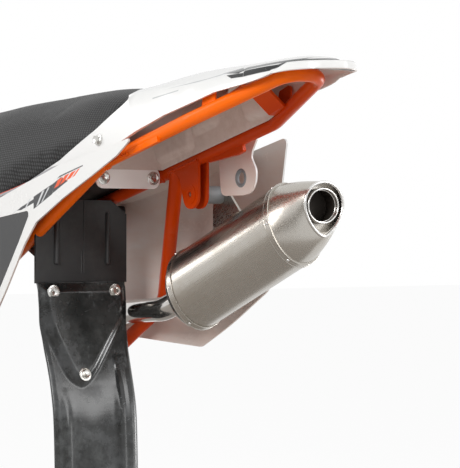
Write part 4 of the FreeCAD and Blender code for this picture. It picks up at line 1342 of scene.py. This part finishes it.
@dataclass
class AirBox:
    """The moulded box in front of the splash wall. Lengths in millimetres."""

    low: Point = (74.0, -61.0, -100.0)
    high: Point = (156.0, 61.0, 20.0)
    step: float = -58.0
    step_rise: float = 14.0
    back: float = 132.0
    front_top: float = 4.0
    rounding: float = 6.0

    def build(self, wardrobe: Wardrobe) -> None:
        """Makes the box, stepped back at its foot and sloping down to its front.

        Args:
            wardrobe: The materials.
        """
        shape = Shape()
        middle = (Vector(self.low) + Vector(self.high)) / (2 * MM)
        size = (Vector(self.high) - Vector(self.low)) / MM
        place = Matrix.Translation(middle) @ Matrix.Diagonal((*size, 1.0))
        bmesh.ops.create_cube(shape.form, size=1.0, matrix=place)
        for height in (self.step, self.step + self.step_rise):
            whole = shape.form.verts[:] + shape.form.edges[:] + shape.form.faces[:]
            bmesh.ops.bisect_plane(shape.form, geom=whole, plane_co=(0, 0, height / MM),
                                   plane_no=(0, 0, 1))
        for vert in shape.form.verts:
            in_front = vert.co.x < middle.x
            if in_front and vert.co.z < (self.step + 1) / MM:
                vert.co.x = self.back / MM
            elif in_front and vert.co.z > (self.high[2] - 1) / MM:
                vert.co.z = self.front_top / MM
        shape.soften(shape.form.verts[:], self.rounding / MM, 3, 0.3)
        box = shape.piece("air_box_moulding", wardrobe.get(Slot.BLACK), Slot.BLACK)
        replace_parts(box, "air_box")


@dataclass
class WallRibs:
    """The pressed ribs and the seam of the splash wall. Lengths in millimetres."""

    face: float = 161.2
    bulge: float = 1.35
    # middle across, foot, top, half width
    ribs: tuple[tuple[float, float, float, float], ...] = (
        (-43.0, -73.0, 28.0, 4.4), (50.0, -73.0, 11.0, 3.6))
    # across, foot, top, radius
    seams: tuple[tuple[float, float, float, float], ...] = (
        (7.0, -86.0, 29.0, 1.3), (2.6, -86.0, -52.0, 1.0))

    def build(self, wardrobe: Wardrobe) -> None:
        """Makes each rib, a long half-round bead with round ends, and the seam's lines.

        Args:
            wardrobe: The materials.
        """
        shape = Shape()
        for across, low, high, half in self.ribs:
            made = bmesh.ops.create_uvsphere(shape.form, u_segments=24, v_segments=16, radius=half / MM)
            reach = (high - low) / (2 * MM) - half / MM
            for vert in made["verts"]:
                vert.co.z += reach if vert.co.z > 0 else -reach
                vert.co.x *= self.bulge
                vert.co += Vector((self.face, across, (low + high) / 2)) / MM
        shape.piece("wall_ribs", wardrobe.get(Slot.BLACK), Slot.BLACK)
        seam = Beads()
        for across, low, high, radius in self.seams:
            seam.add([(self.face + 0.2, across, low), (self.face + 0.2, across, high)], radius)
        seam.piece("wall_seam", wardrobe.get(Slot.BLACK), Slot.BLACK)


@dataclass
class TailTray:
    """The white tray under the fender, with its moulded bulges. Lengths in millimetres."""

    gauge: float = 3.0
    inside: float = 61.5
    foot: float = 3.2  # over the line of the rails
    crown: float = 8.0  # how much the roof's middle stands over its corners
    # the front wall: foot over the rails, height, depth, and how far both ends stand in
    wall: tuple[float, float, float] = (3.4, 56.0, 2.4)
    wall_inset: Flat = (1.5, 17.0)

    # the side's form along X, from where to where each comes or goes
    REAR: ClassVar[Flat] = (536.0, 552.0)
    FRONT: ClassVar[Flat] = (392.0, 402.0)
    POCKET: ClassVar[tuple[Flat, Flat]] = ((402.0, 416.0), (452.0, 474.0))
    BOSS: ClassVar[Flat] = (505.0, 26.0)  # middle, width
    DEPTHS: ClassVar[Point] = (12.0, 7.0, 9.0)  # rear, front, pocket
    # the same up the side, from its foot (0) to the roof (1)
    LEDGE: ClassVar[tuple[Flat, Flat]] = ((0.18, 0.30), (0.86, 0.98))
    POCKET_FOOT: ClassVar[Flat] = (0.45, 0.62)

    # X, then how far the side and the roof's corner stand in, and the height of the roof
    STATIONS: ClassVar[tuple[tuple[float, float, float, float], ...]] = (
        (306.8, 0.0, 12.0, 62.0), (450.0, 0.0, 10.0, 64.0), (540.0, 0.0, 14.0, 58.0),
        (584.0, 0.0, 18.0, 52.0), (606.0, 7.0, 26.0, 46.0))

    def station(self, x: float) -> Point:
        """Reads the three sizes at a place.

        Args:
            x: The place.

        Returns:
            How far the side and the roof's corner stand in, and the roof's height.
        """
        for first, second in zip(self.STATIONS, self.STATIONS[1:]):
            if x <= second[0]:
                share = (x - first[0]) / (second[0] - first[0])
                return tuple(a + (b - a) * share for a, b in zip(first[1:], second[1:]))
        return self.STATIONS[-1][1:]

    def dent(self, x: float, height: float) -> float:
        """Gives how far the side lies inside its plain face.

        Args:
            x: The place along the tray.
            height: The place on the side, from its foot (0) to the roof (1).

        Returns:
            The depth of the two hollows and the pocket, less the boss between them.
        """
        ledge = eased(height, *self.LEDGE[0]) * (1 - eased(height, *self.LEDGE[1]))
        along = eased(x, *self.POCKET[0]) * (1 - eased(x, *self.POCKET[1]))
        forms = (eased(x, *self.REAR), 1 - eased(x, *self.FRONT),
                 along * eased(height, *self.POCKET_FOOT))
        boss = math.exp(-((x - self.BOSS[0]) / self.BOSS[1]) ** 2)
        return ledge * (sum(depth * form for depth, form in zip(self.DEPTHS, forms)) - boss)

    def folded(self, x: float, part: float) -> Flat:
        """Gives a point of one half of the tray's section.

        Args:
            x: The place along the tray.
            part: From the roof's middle (0) over its corner (0.5) to the side's foot (1).

        Returns:
            How far out and how high the point lies.
        """
        side, roof, rise = self.station(x)
        low = self.rail(x) + self.foot
        half, top = self.inside - side, self.inside - roof
        if part > 0.5:
            height = (1 - part) * 2
            return (half + (top - half) * height - self.dent(x, height),
                    low + (rise - self.crown) * height)
        over = part * 2
        return (top - self.dent(x, 1.0)) * over, low + rise - self.crown * over ** 1.6

    @staticmethod
    def rail(x: float) -> float:
        """Gives the height of the rails' line."""
        return x * math.tan(math.radians(RAIL_SLOPE))

    def build(self, wardrobe: Wardrobe) -> None:
        """Makes the tray from a grid folded over its arch, with a wall at its front.

        Args:
            wardrobe: The materials.
        """
        shape = Shape()
        front, last = self.STATIONS[0][0], self.STATIONS[-1][0]
        for vert, share, across in shape.sheet(150, 96):
            x = front + (last - front) * share
            hand = across * 2 - 1
            y, z = self.folded(x, abs(hand))
            vert.co = Vector((x, math.copysign(y, hand), z)) / MM
        bmesh.ops.smooth_vert(shape.form, verts=shape.form.verts, factor=0.5, use_axis_x=False,
                              use_axis_y=True, use_axis_z=True)
        foot, height, depth = self.wall
        for vert in bmesh.ops.create_cube(shape.form, size=1.0)["verts"]:
            below = vert.co.z < 0
            width = self.inside - self.wall_inset[0 if below else 1]
            vert.co = Vector((front + depth * (vert.co.x + 0.5), width * vert.co.y * 2,
                              self.rail(front) + foot + (0.0 if below else height))) / MM
        tray = shape.piece("tray_moulding", wardrobe.tray, Slot.WHITE)
        thicken(tray, self.gauge, -1.0)
        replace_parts(tray, "inner_fender")


@dataclass(frozen=True)
class FlangeBolt:
    """A hexagon bolt head on its own flange, in metres."""

    flange: float = 0.0105
    rim: float = 0.0013
    collar: float = 0.0068
    taper: float = 0.0009
    collar_rise: float = 0.0012
    across: float = 0.0064
    head: float = 0.0052
    dish: float = 0.0009
    dish_wall: float = 0.0016

    def add(self, shape: Shape, at: Sequence[float], along: Sequence[float], turn: float = 0.3) -> None:
        """Adds the head to a shape.

        Args:
            shape: The mesh to add to.
            at: The middle of the face that it seats on, in millimetres.
            along: The way its shank points back from.
            turn: How far the hexagon is turned, in radians.
        """
        base = spot(at, along)
        shape.soften(shape.cone(self.flange, self.flange, self.rim, 40, base), 0.0004)
        over = base @ Matrix.Translation((0, 0, self.rim))
        collar = shape.cone(self.collar + self.taper, self.collar, self.collar_rise, 40, over)
        shape.soften(collar, 0.0003, 1)
        lift = Matrix.Translation((0, 0, self.rim + self.collar_rise / 2))
        top = base @ lift @ Matrix.Rotation(turn, 4, "Z")
        head = shape.cone(self.across, self.across, self.head, 6, top)
        down = base.inverted()
        crown = max((f for v in head for f in v.link_faces),
                    key=lambda face: (down @ face.calc_center_median()).z)
        bmesh.ops.inset_region(shape.form, faces=[crown], thickness=self.dish_wall, depth=0.0)
        bmesh.ops.translate(shape.form, verts=crown.verts,
                            vec=base.to_3x3() @ Vector((0, 0, -self.dish)))
        shape.soften(head, 0.0005)


@dataclass(frozen=True)
class Rivet:
    """A domed rivet head on its washer, in metres."""

    washer: float = 0.0029
    gauge: float = 0.0007
    foot: float = 0.0021
    crown: float = 0.0012
    rise: float = 0.0014

    def add(self, shape: Shape, at: Sequence[float], along: Sequence[float]) -> None:
        """Adds the head to a shape.

        Args:
            shape: The mesh to add to.
            at: Where it sits, in millimetres.
            along: The way it faces.
        """
        base = spot(at, along)
        shape.soften(shape.cone(self.washer, self.washer, self.gauge, 20, base), 0.0003, 1)
        over = base @ Matrix.Translation((0, 0, self.gauge - 0.0001))
        shape.soften(shape.cone(self.foot, self.crown, self.rise, 16, over), 0.0005, 2, 0.3)


@dataclass(frozen=True)
class BoltPlace:
    """Where one bolt head sits: its point in millimetres, the way it faces and its turn."""

    at: Point
    along: Point
    turn: float = 0.3
    bolt: FlangeBolt = FlangeBolt()


@dataclass
class Fasteners:
    """Every bolt head that shows. Lengths in millimetres, angles in radians."""

    plate: tuple[BoltPlace, ...] = (
        BoltPlace((305.7, -44.0, 61.0), (1, 0, 0), 0.2),
        BoltPlace((305.7, 44.0, 61.0), (1, 0, 0), 0.7))
    # across, height, and how far the head is tilted up
    flap: tuple[Point, ...] = ((-57.0, -114.0, 0.0), (55.0, -114.0, 0.0), (-16.0, -243.0, 0.29))
    panel: tuple[BoltPlace, ...] = (
        BoltPlace((376.0, -94.8, 113.0), (0, -1, 0.06), bolt=FlangeBolt(flange=0.009)),
        BoltPlace((376.0, 94.8, 113.0), (0, 1, 0.06), bolt=FlangeBolt(flange=0.009)),
        BoltPlace((64.3, -107.2, 14.7), (0, -1, 0),
                  bolt=FlangeBolt(flange=0.0075, across=0.0052, collar=0.0056, head=0.0032)))
    hanger: tuple[BoltPlace, ...] = (
        BoltPlace((381.2, 120.2, 35.4), (0, 1, 0),
                  bolt=FlangeBolt(flange=0.0095, across=0.0072, collar=0.0080, head=0.006)),)

    def on_flap(self) -> list[BoltPlace]:
        """Gives the flap's bolts, on its face as it is moulded.

        Returns:
            Where they sit.
        """
        flap = MudFlap()
        return [BoltPlace((flap.face(y, z) + 0.1, y, z), (math.cos(tilt), 0, math.sin(tilt)),
                          0.4 + y / 50) for y, z, tilt in self.flap]

    @staticmethod
    def heads(name: str, places: Iterable[BoltPlace], wardrobe: Wardrobe) -> bpy.types.Object:
        """Makes one piece of several bolt heads.

        Args:
            name: The piece's name.
            places: Where the heads sit.
            wardrobe: The materials.

        Returns:
            The piece.
        """
        shape = Shape()
        for place in places:
            place.bolt.add(shape, place.at, place.along, place.turn)
        return shape.piece(name, wardrobe.get(Slot.ZINC), Slot.ZINC)

    def build(self, wardrobe: Wardrobe) -> None:
        """Makes the bolts of the mount plate, the flap, the fender, the panel and the hanger.

        Args:
            wardrobe: The materials.
        """
        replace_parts(self.heads("plate_flange_bolts", self.plate, wardrobe), "plate_bolts")
        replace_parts(self.heads("flap_flange_bolts", self.on_flap(), wardrobe), "flap_bolts")
        self.heads("panel_bolts", self.panel, wardrobe)
        self.heads("hanger_bolt_hex", self.hanger, wardrobe)


@dataclass
class SilencerTrim:
    """Rivets, band edges and rolled lips of the silencer. Lengths in millimetres."""

    origin: Point = (405.0, 125.0, -70.0)
    toe: float = 15.9  # degrees, as the next three are
    climb: float = 27.7
    rake: float = 10.7
    outlet_yaw: float = -8.0
    outlet: Point = (567.0, 172.0, 20.0)
    radius: float = 61.0
    band: float = 1.0
    front: float = -79.0
    rear: float = 132.0
    # the round rings inside the mouth: radius, how far out, thickness
    rings: tuple[Point, ...] = ((25.0, -1.6, 1.5), (23.2, -7.0, 0.8))
    ring_height: float = -3.0
    # the two rows of rivets: where on the can, the angle of the first in degrees
    rivets: tuple[Flat, ...] = ((127.5, 178.0), (-83.5, 177.0))
    rivets_per_row: int = 6

    def frame(self) -> Matrix:
        """Gives the silencer's own frame, with X along the can.

        Returns:
            The frame, in millimetres.
        """
        toe = Matrix.Rotation(math.radians(self.toe), 4, "Z")
        climb = Matrix.Rotation(math.radians(-self.climb), 4, "Y")
        return Matrix.Translation(Vector(self.origin)) @ toe @ climb

    def mouth(self) -> Matrix:
        """Gives the outlet's own frame, with X out of it."""
        turn = Matrix.Rotation(math.radians(self.outlet_yaw), 4, "Z")
        return Matrix.Translation(Vector(self.outlet)) @ turn

    def on_can(self, along: float, angle: float, radius: float) -> Vector:
        """Gives a point of a raked ring on the can.

        Args:
            along: Where the ring is on the can.
            angle: The point's angle from the rider's right, in radians.
            radius: The ring's radius.

        Returns:
            The point.
        """
        y, z = radius * math.cos(angle), radius * math.sin(angle)
        return self.frame() @ Vector((along + z * math.tan(math.radians(self.rake)), y, z))

    def ring(self, along: float, radius: float, steps: int = 96) -> list[Vector]:
        """Gives a raked ring round the can."""
        return [self.on_can(along, math.tau * i / steps, radius) for i in range(steps)]

    def teardrop(self, radius: float, drop: float, out: float) -> list[Vector]:
        """Gives the outlet's rim: a round ring drawn down to a point.

        Args:
            radius: The round part's radius.
            drop: How far the point lies under the middle.
            out: How far the rim stands out of the mouth.

        Returns:
            The rim's points.
        """
        rim = []
        for y, z in circle(radius, 72):
            if z < 0:
                sharp = (-z / radius) ** 2.2
                z -= (drop - radius) * sharp
                y *= 1 - 0.35 * sharp * (1 - abs(y) / radius)
            rim.append(self.mouth() @ Vector((out, y, z)))
        return rim

    def build(self, wardrobe: Wardrobe) -> None:
        """Makes the bands' rolled edges, the outlet's lips and the rivets.

        Args:
            wardrobe: The materials.
        """
        edges = Beads()
        for along in (self.rear - 9.0, self.rear - 0.6, self.front - 8.4, self.front):
            edges.add(self.ring(along, self.radius + self.band), 0.9, closed=True)
        edges.add(self.ring(self.rear - 4.6, self.radius + 1.1), 0.35, closed=True)
        edges.piece("band_edges", wardrobe.get(Slot.STEEL), Slot.STEEL)
        lips = Beads()
        lips.add(self.teardrop(31.8, 47.6, 0.6), 2.3, closed=True)
        for radius, out, thick in self.rings:
            ring = [self.mouth() @ Vector((out, y, self.ring_height + z)) for y, z in circle(radius, 64)]
            lips.add(ring, thick, closed=True)
        lips.piece("outlet_lips", wardrobe.bright, Slot.STEEL)
        shape = Shape()
        for along, first in self.rivets:
            for i in range(self.rivets_per_row):
                angle = math.radians(first + 360 / self.rivets_per_row * i)
                at = self.on_can(along, angle, self.radius + self.band)
                out = self.on_can(along, angle, self.radius + self.band + 8.0)
                Rivet().add(shape, at, out - at)
        shape.piece("band_rivets", wardrobe.bright, Slot.STEEL)


@dataclass
class Welds:
    """The weld seams, and the grommet in the right panel. Lengths in millimetres."""

    tube: float = 10.0
    half: float = 72.0
    cross_tubes: Flat = (60.0, 300.0)
    brace_slope: float = 26.9  # degrees
    brace_foot: Point = (2.0, -72.0, -97.8)
    strut: float = 11.0
    strut_top: float = 340.0
    knee: Point = (191.0, 138.0, -137.0)
    # the seams along the rails: from and to in X, how far below the rail's line, and across
    ear_seam: tuple[int, int] = (322, 402)
    ear_drop: float = 4.5
    ears: Flat = (61.6, 82.4)
    strip_seam: tuple[int, int] = (360, 436)
    strip_drop: float = 8.5
    strip: float = -82.2
    strip_waver: float = 2.0
    # the ring round the bolt hole in each ear of the bracket: X and height, across, radius
    eye: Flat = (381.1, 35.3)
    eyes: Flat = (61.9, 82.1)
    eye_radius: float = 6.9
    grommet: Point = (466.0, 97.0, 58.7)
    grommet_radius: float = 11.6
    # the hanger's foot on the can: X of its start, step, across, number of points
    hanger: tuple[float, float, float, int] = (372.0, 2.6, 115.4, 24)

    def on_rail(self, along: float, side: float) -> Vector:
        """Gives a point on a rail's axis."""
        turn = math.radians(RAIL_SLOPE)
        return Vector((along * math.cos(turn), self.half * side, along * math.sin(turn)))

    def saddle(self, joint: Vector, branch: Vector, radius: float) -> list[Vector]:
        """Gives the seam where a branch tube meets the rail.

        Args:
            joint: Where the two axes meet.
            branch: The branch's direction, away from the rail.
            radius: The branch's radius.

        Returns:
            The seam's points, as far as the branch reaches the rail.
        """
        turn = math.radians(RAIL_SLOPE)
        rail = Vector((math.cos(turn), 0.0, math.sin(turn)))
        branch = branch.normalized()
        first = branch.cross(rail).normalized()
        second = branch.cross(first)
        seam = []
        for a, b in circle(radius * 1.04, 56):
            offset = first * a + second * b
            o, q = offset - rail * offset.dot(rail), branch - rail * branch.dot(rail)
            room = max(o.dot(q) ** 2 - q.dot(q) * (o.dot(o) - (self.tube + 0.3) ** 2), 0.0)
            seam.append(joint + offset + branch * ((-o.dot(q) + math.sqrt(room)) / q.dot(q)))
        return seam

    @staticmethod
    def hoop(centre: Point, radius: float, steps: int) -> list[Vector]:
        """Gives a ring in the plane of the machine's side."""
        return [Vector(centre) + Vector((a, 0.0, b)) for a, b in circle(radius, steps)]

    def tubes(self, seams: Beads) -> None:
        """Adds the seams of the cross tubes, the brace and the strut.

        Args:
            seams: The lines to add to.
        """
        for along in self.cross_tubes:
            for side in (-1, 1):
                joint = self.on_rail(along, side)
                seams.add(self.saddle(joint, Vector((0, -side, 0)), self.tube), 1.7, True, 0.22)
        turn = math.radians(self.brace_slope)
        low, high = math.tan(math.radians(RAIL_SLOPE)), math.tan(turn)
        x = (self.brace_foot[0] * high - self.brace_foot[2]) / (high - low)
        brace = self.saddle(Vector((x, -self.half, x * low)),
                            Vector((-math.cos(turn), 0, -math.sin(turn))), self.tube)
        seams.add(brace, 2.0, True, 0.25)
        top = self.on_rail(self.strut_top, 1)
        seams.add(self.saddle(top, Vector(self.knee) - top, self.strut), 2.0, True, 0.22)

    def build(self, wardrobe: Wardrobe) -> None:
        """Makes the frame's painted seams, the grommet and the hanger's bare seam.

        Args:
            wardrobe: The materials.
        """
        low = math.tan(math.radians(RAIL_SLOPE))
        seams = Beads()
        self.tubes(seams)
        for y in self.ears:
            ear = [(x, y, x * low - self.ear_drop) for x in range(*self.ear_seam, 3)]
            seams.add(ear, 1.8, False, 0.25)
        strip = [(x, self.strip, x * low - self.strip_drop + self.strip_waver * math.sin(x))
                 for x in range(*self.strip_seam, 3)]
        seams.add(strip, 1.7, False, 0.25)
        for y in self.eyes:
            seams.add(self.hoop((self.eye[0], y, self.eye[1]), self.eye_radius, 20), 1.2, True)
        seams.piece("frame_welds", wardrobe.get(Slot.FRAME), Slot.FRAME)
        grommet = Beads()
        grommet.add(self.hoop(self.grommet, self.grommet_radius, 32), 3.0, True)
        grommet.piece("lobe_grommet", wardrobe.get(Slot.RUBBER), Slot.RUBBER)
        trim = SilencerTrim()
        start, step, across, count = self.hanger
        line = [self.above_can(trim, start + i * step, across) for i in range(count)]
        hanger = Beads()
        hanger.add(line, 1.6, False, 0.35)
        hanger.add([p + Vector((0, 5.2, 0.5)) for p in line], 1.4, False, 0.3)
        hanger.piece("hanger_weld", wardrobe.weld, Slot.STEEL)

    @staticmethod
    def above_can(trim: SilencerTrim, x: float, y: float) -> Vector:
        """Finds the point on top of the can over a place on the floor, from above.

        Args:
            trim: The silencer's sizes.
            x: The place along the machine.
            y: The place across it.

        Returns:
            The point.
        """
        inverse = trim.frame().inverted()
        height = 60.0
        while height > -120.0:
            local = inverse @ Vector((x, y, height))
            if math.hypot(local.y, local.z) <= trim.radius + 0.4:
                break
            height -= 0.25
        return Vector((x, y, height))


@dataclass(frozen=True)
class Lamp:
    """A square soft box: where it hangs and faces, its side in metres and its power in watts."""

    name: str
    at: Point
    size: float
    power: float
    toward: Point = (0.4, 0.0, 0.0)

    def hang(self) -> None:
        """Hangs the lamp."""
        data = bpy.data.lights.new(self.name, "AREA")
        data.size = self.size
        data.energy = self.power
        lamp = bpy.data.objects.new(self.name, data)
        lamp.location = self.at
        facing = Vector(self.toward) - Vector(self.at)
        lamp.rotation_euler = facing.to_track_quat("-Z", "Y").to_euler()
        bpy.context.collection.objects.link(lamp)


@dataclass
class Studio:
    """Camera, lamps, floor and backdrop. Lengths in metres."""

    effects: Effects
    azimuth: float = 55.0
    reach: float = 2.6
    lens: float = 142.85
    aim: Point = (0.5745, 0.0, -0.024)
    floor_height: float = -0.62
    floor_size: float = 14.0
    floor_glow: float = 0.93  # how much of the floor's own white the camera sees
    room_light: float = 0.46
    lamps: tuple[Lamp, ...] = (
        Lamp("key", (1.6, -2.7, 1.1), 1.0, 52.0),
        Lamp("fill", (2.6, 1.5, 1.0), 1.4, 36.0),
        Lamp("side", (-1.15, -1.8, 0.85), 0.8, 12.0),
        Lamp("low", (0.35, 1.9, -0.40), 0.5, 7.0, (0.25, 0.0, -0.2)),
    )

    def camera(self) -> None:
        """Stands the camera where the photographer stood."""
        data = bpy.data.cameras.new("camera")
        data.lens = self.lens
        camera = bpy.data.objects.new("camera", data)
        turn = math.radians(self.azimuth)
        look = Vector((-math.sin(turn), math.cos(turn), 0.0))
        camera.location = Vector(self.aim) - look * self.reach
        camera.rotation_euler = (math.radians(90), 0.0, turn)
        bpy.context.collection.objects.link(camera)
        bpy.context.scene.camera = camera

    @staticmethod
    def plane(name: str, place: Matrix, material: bpy.types.Material) -> bpy.types.Object:
        """Makes a flat thing that isn't part of the object.

        Args:
            name: Its name.
            place: Its place, turn and half sizes.
            material: Its material.

        Returns:
            The thing.
        """
        mesh = bpy.data.meshes.new(name)
        form = bmesh.new()
        bmesh.ops.create_grid(form, x_segments=1, y_segments=1, size=1.0, matrix=place)
        form.to_mesh(mesh)
        form.free()
        mesh.materials.append(material)
        thing = bpy.data.objects.new(name, mesh)
        bpy.context.collection.objects.link(thing)
        return thing

    def floor(self) -> None:
        """Lays a pale floor that reads as white to the camera and keeps the shadow soft."""
        material = Finish("floor", (0.90, 0.90, 0.90), 0.8).make(self.effects)
        coat = Coat(material, self.effects)
        blend = coat.add("MixShader")
        coat.feed(blend.inputs[0], coat.times(coat.seen(), self.floor_glow))
        coat.feed(blend.inputs[1], coat.shader.outputs[0])
        coat.feed(blend.inputs[2], coat.add("Emission").outputs[0])
        coat.feed(material.node_tree.nodes["Material Output"].inputs["Surface"], blend.outputs[0])
        size = Matrix.Diagonal((self.floor_size, self.floor_size, 1.0, 1.0))
        self.plane("floor", Matrix.Translation((0.4, 0.0, self.floor_height)) @ size, material)

    def card(self, name: str, at: Point, half: Flat, turn: Point) -> None:
        """Stands up a grey card that bare metal mirrors and the camera doesn't see.

        Args:
            name: The card's name.
            at: Its middle.
            half: Half of its width and of its height.
            turn: How far it is turned, in radians.
        """
        material = Finish(name, (0.46, 0.43, 0.40), 0.9).make(self.effects)
        size = Matrix.Diagonal((*half, 1.0, 1.0))
        place = Matrix.Translation(Vector(at)) @ Euler(turn).to_matrix().to_4x4() @ size
        self.plane(name, place, material).visible_camera = False

    def world(self) -> None:
        """Fills the room with even light, and shows white behind the object."""
        world = bpy.data.worlds.new("room")
        bpy.context.scene.world = world
        world.use_nodes = True
        board = Board(world.node_tree)
        background = world.node_tree.nodes["Background"]
        strength = board.ramp(board.seen(), 0.0, 1.0, (self.room_light, 1.0))
        board.feed(background.inputs["Strength"], strength)
        background.inputs["Color"].default_value = (1.0, 1.0, 1.0, 1.0)

    def build(self) -> None:
        """Sets up the whole studio."""
        bpy.context.scene.view_settings.view_transform = "Standard"
        self.camera()
        self.floor()
        self.world()
        for lamp in self.lamps:
            lamp.hang()
        self.card("card_low", (0.3, -0.6, -0.60), (1.4, 1.15), (0.0, 0.0, 0.0))
        upright = (math.radians(90), 0.0, math.radians(self.azimuth))
        self.card("card_side", (3.3, -1.9, -0.1), (1.6, 0.5), upright)


def main() -> None:
    """Builds every piece in order."""
    logging.basicConfig(level=logging.INFO, format="%(name)s: %(message)s")
    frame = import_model()
    effects = Effects()
    Studio(effects).build()
    wardrobe = Wardrobe(effects)
    wardrobe.dress_nodes(frame)
    plain = frame["nodes"]
    for assembly in (SeatCover(plain["seat_cushion"]), FenderShell(plain["rear_fender"]), MudFlap(),
                     AirBox(), WallRibs(), TailTray(), Fasteners(), SilencerTrim(), Welds()):
        assembly.build(wardrobe)


if __name__ == "__main__":
    main()
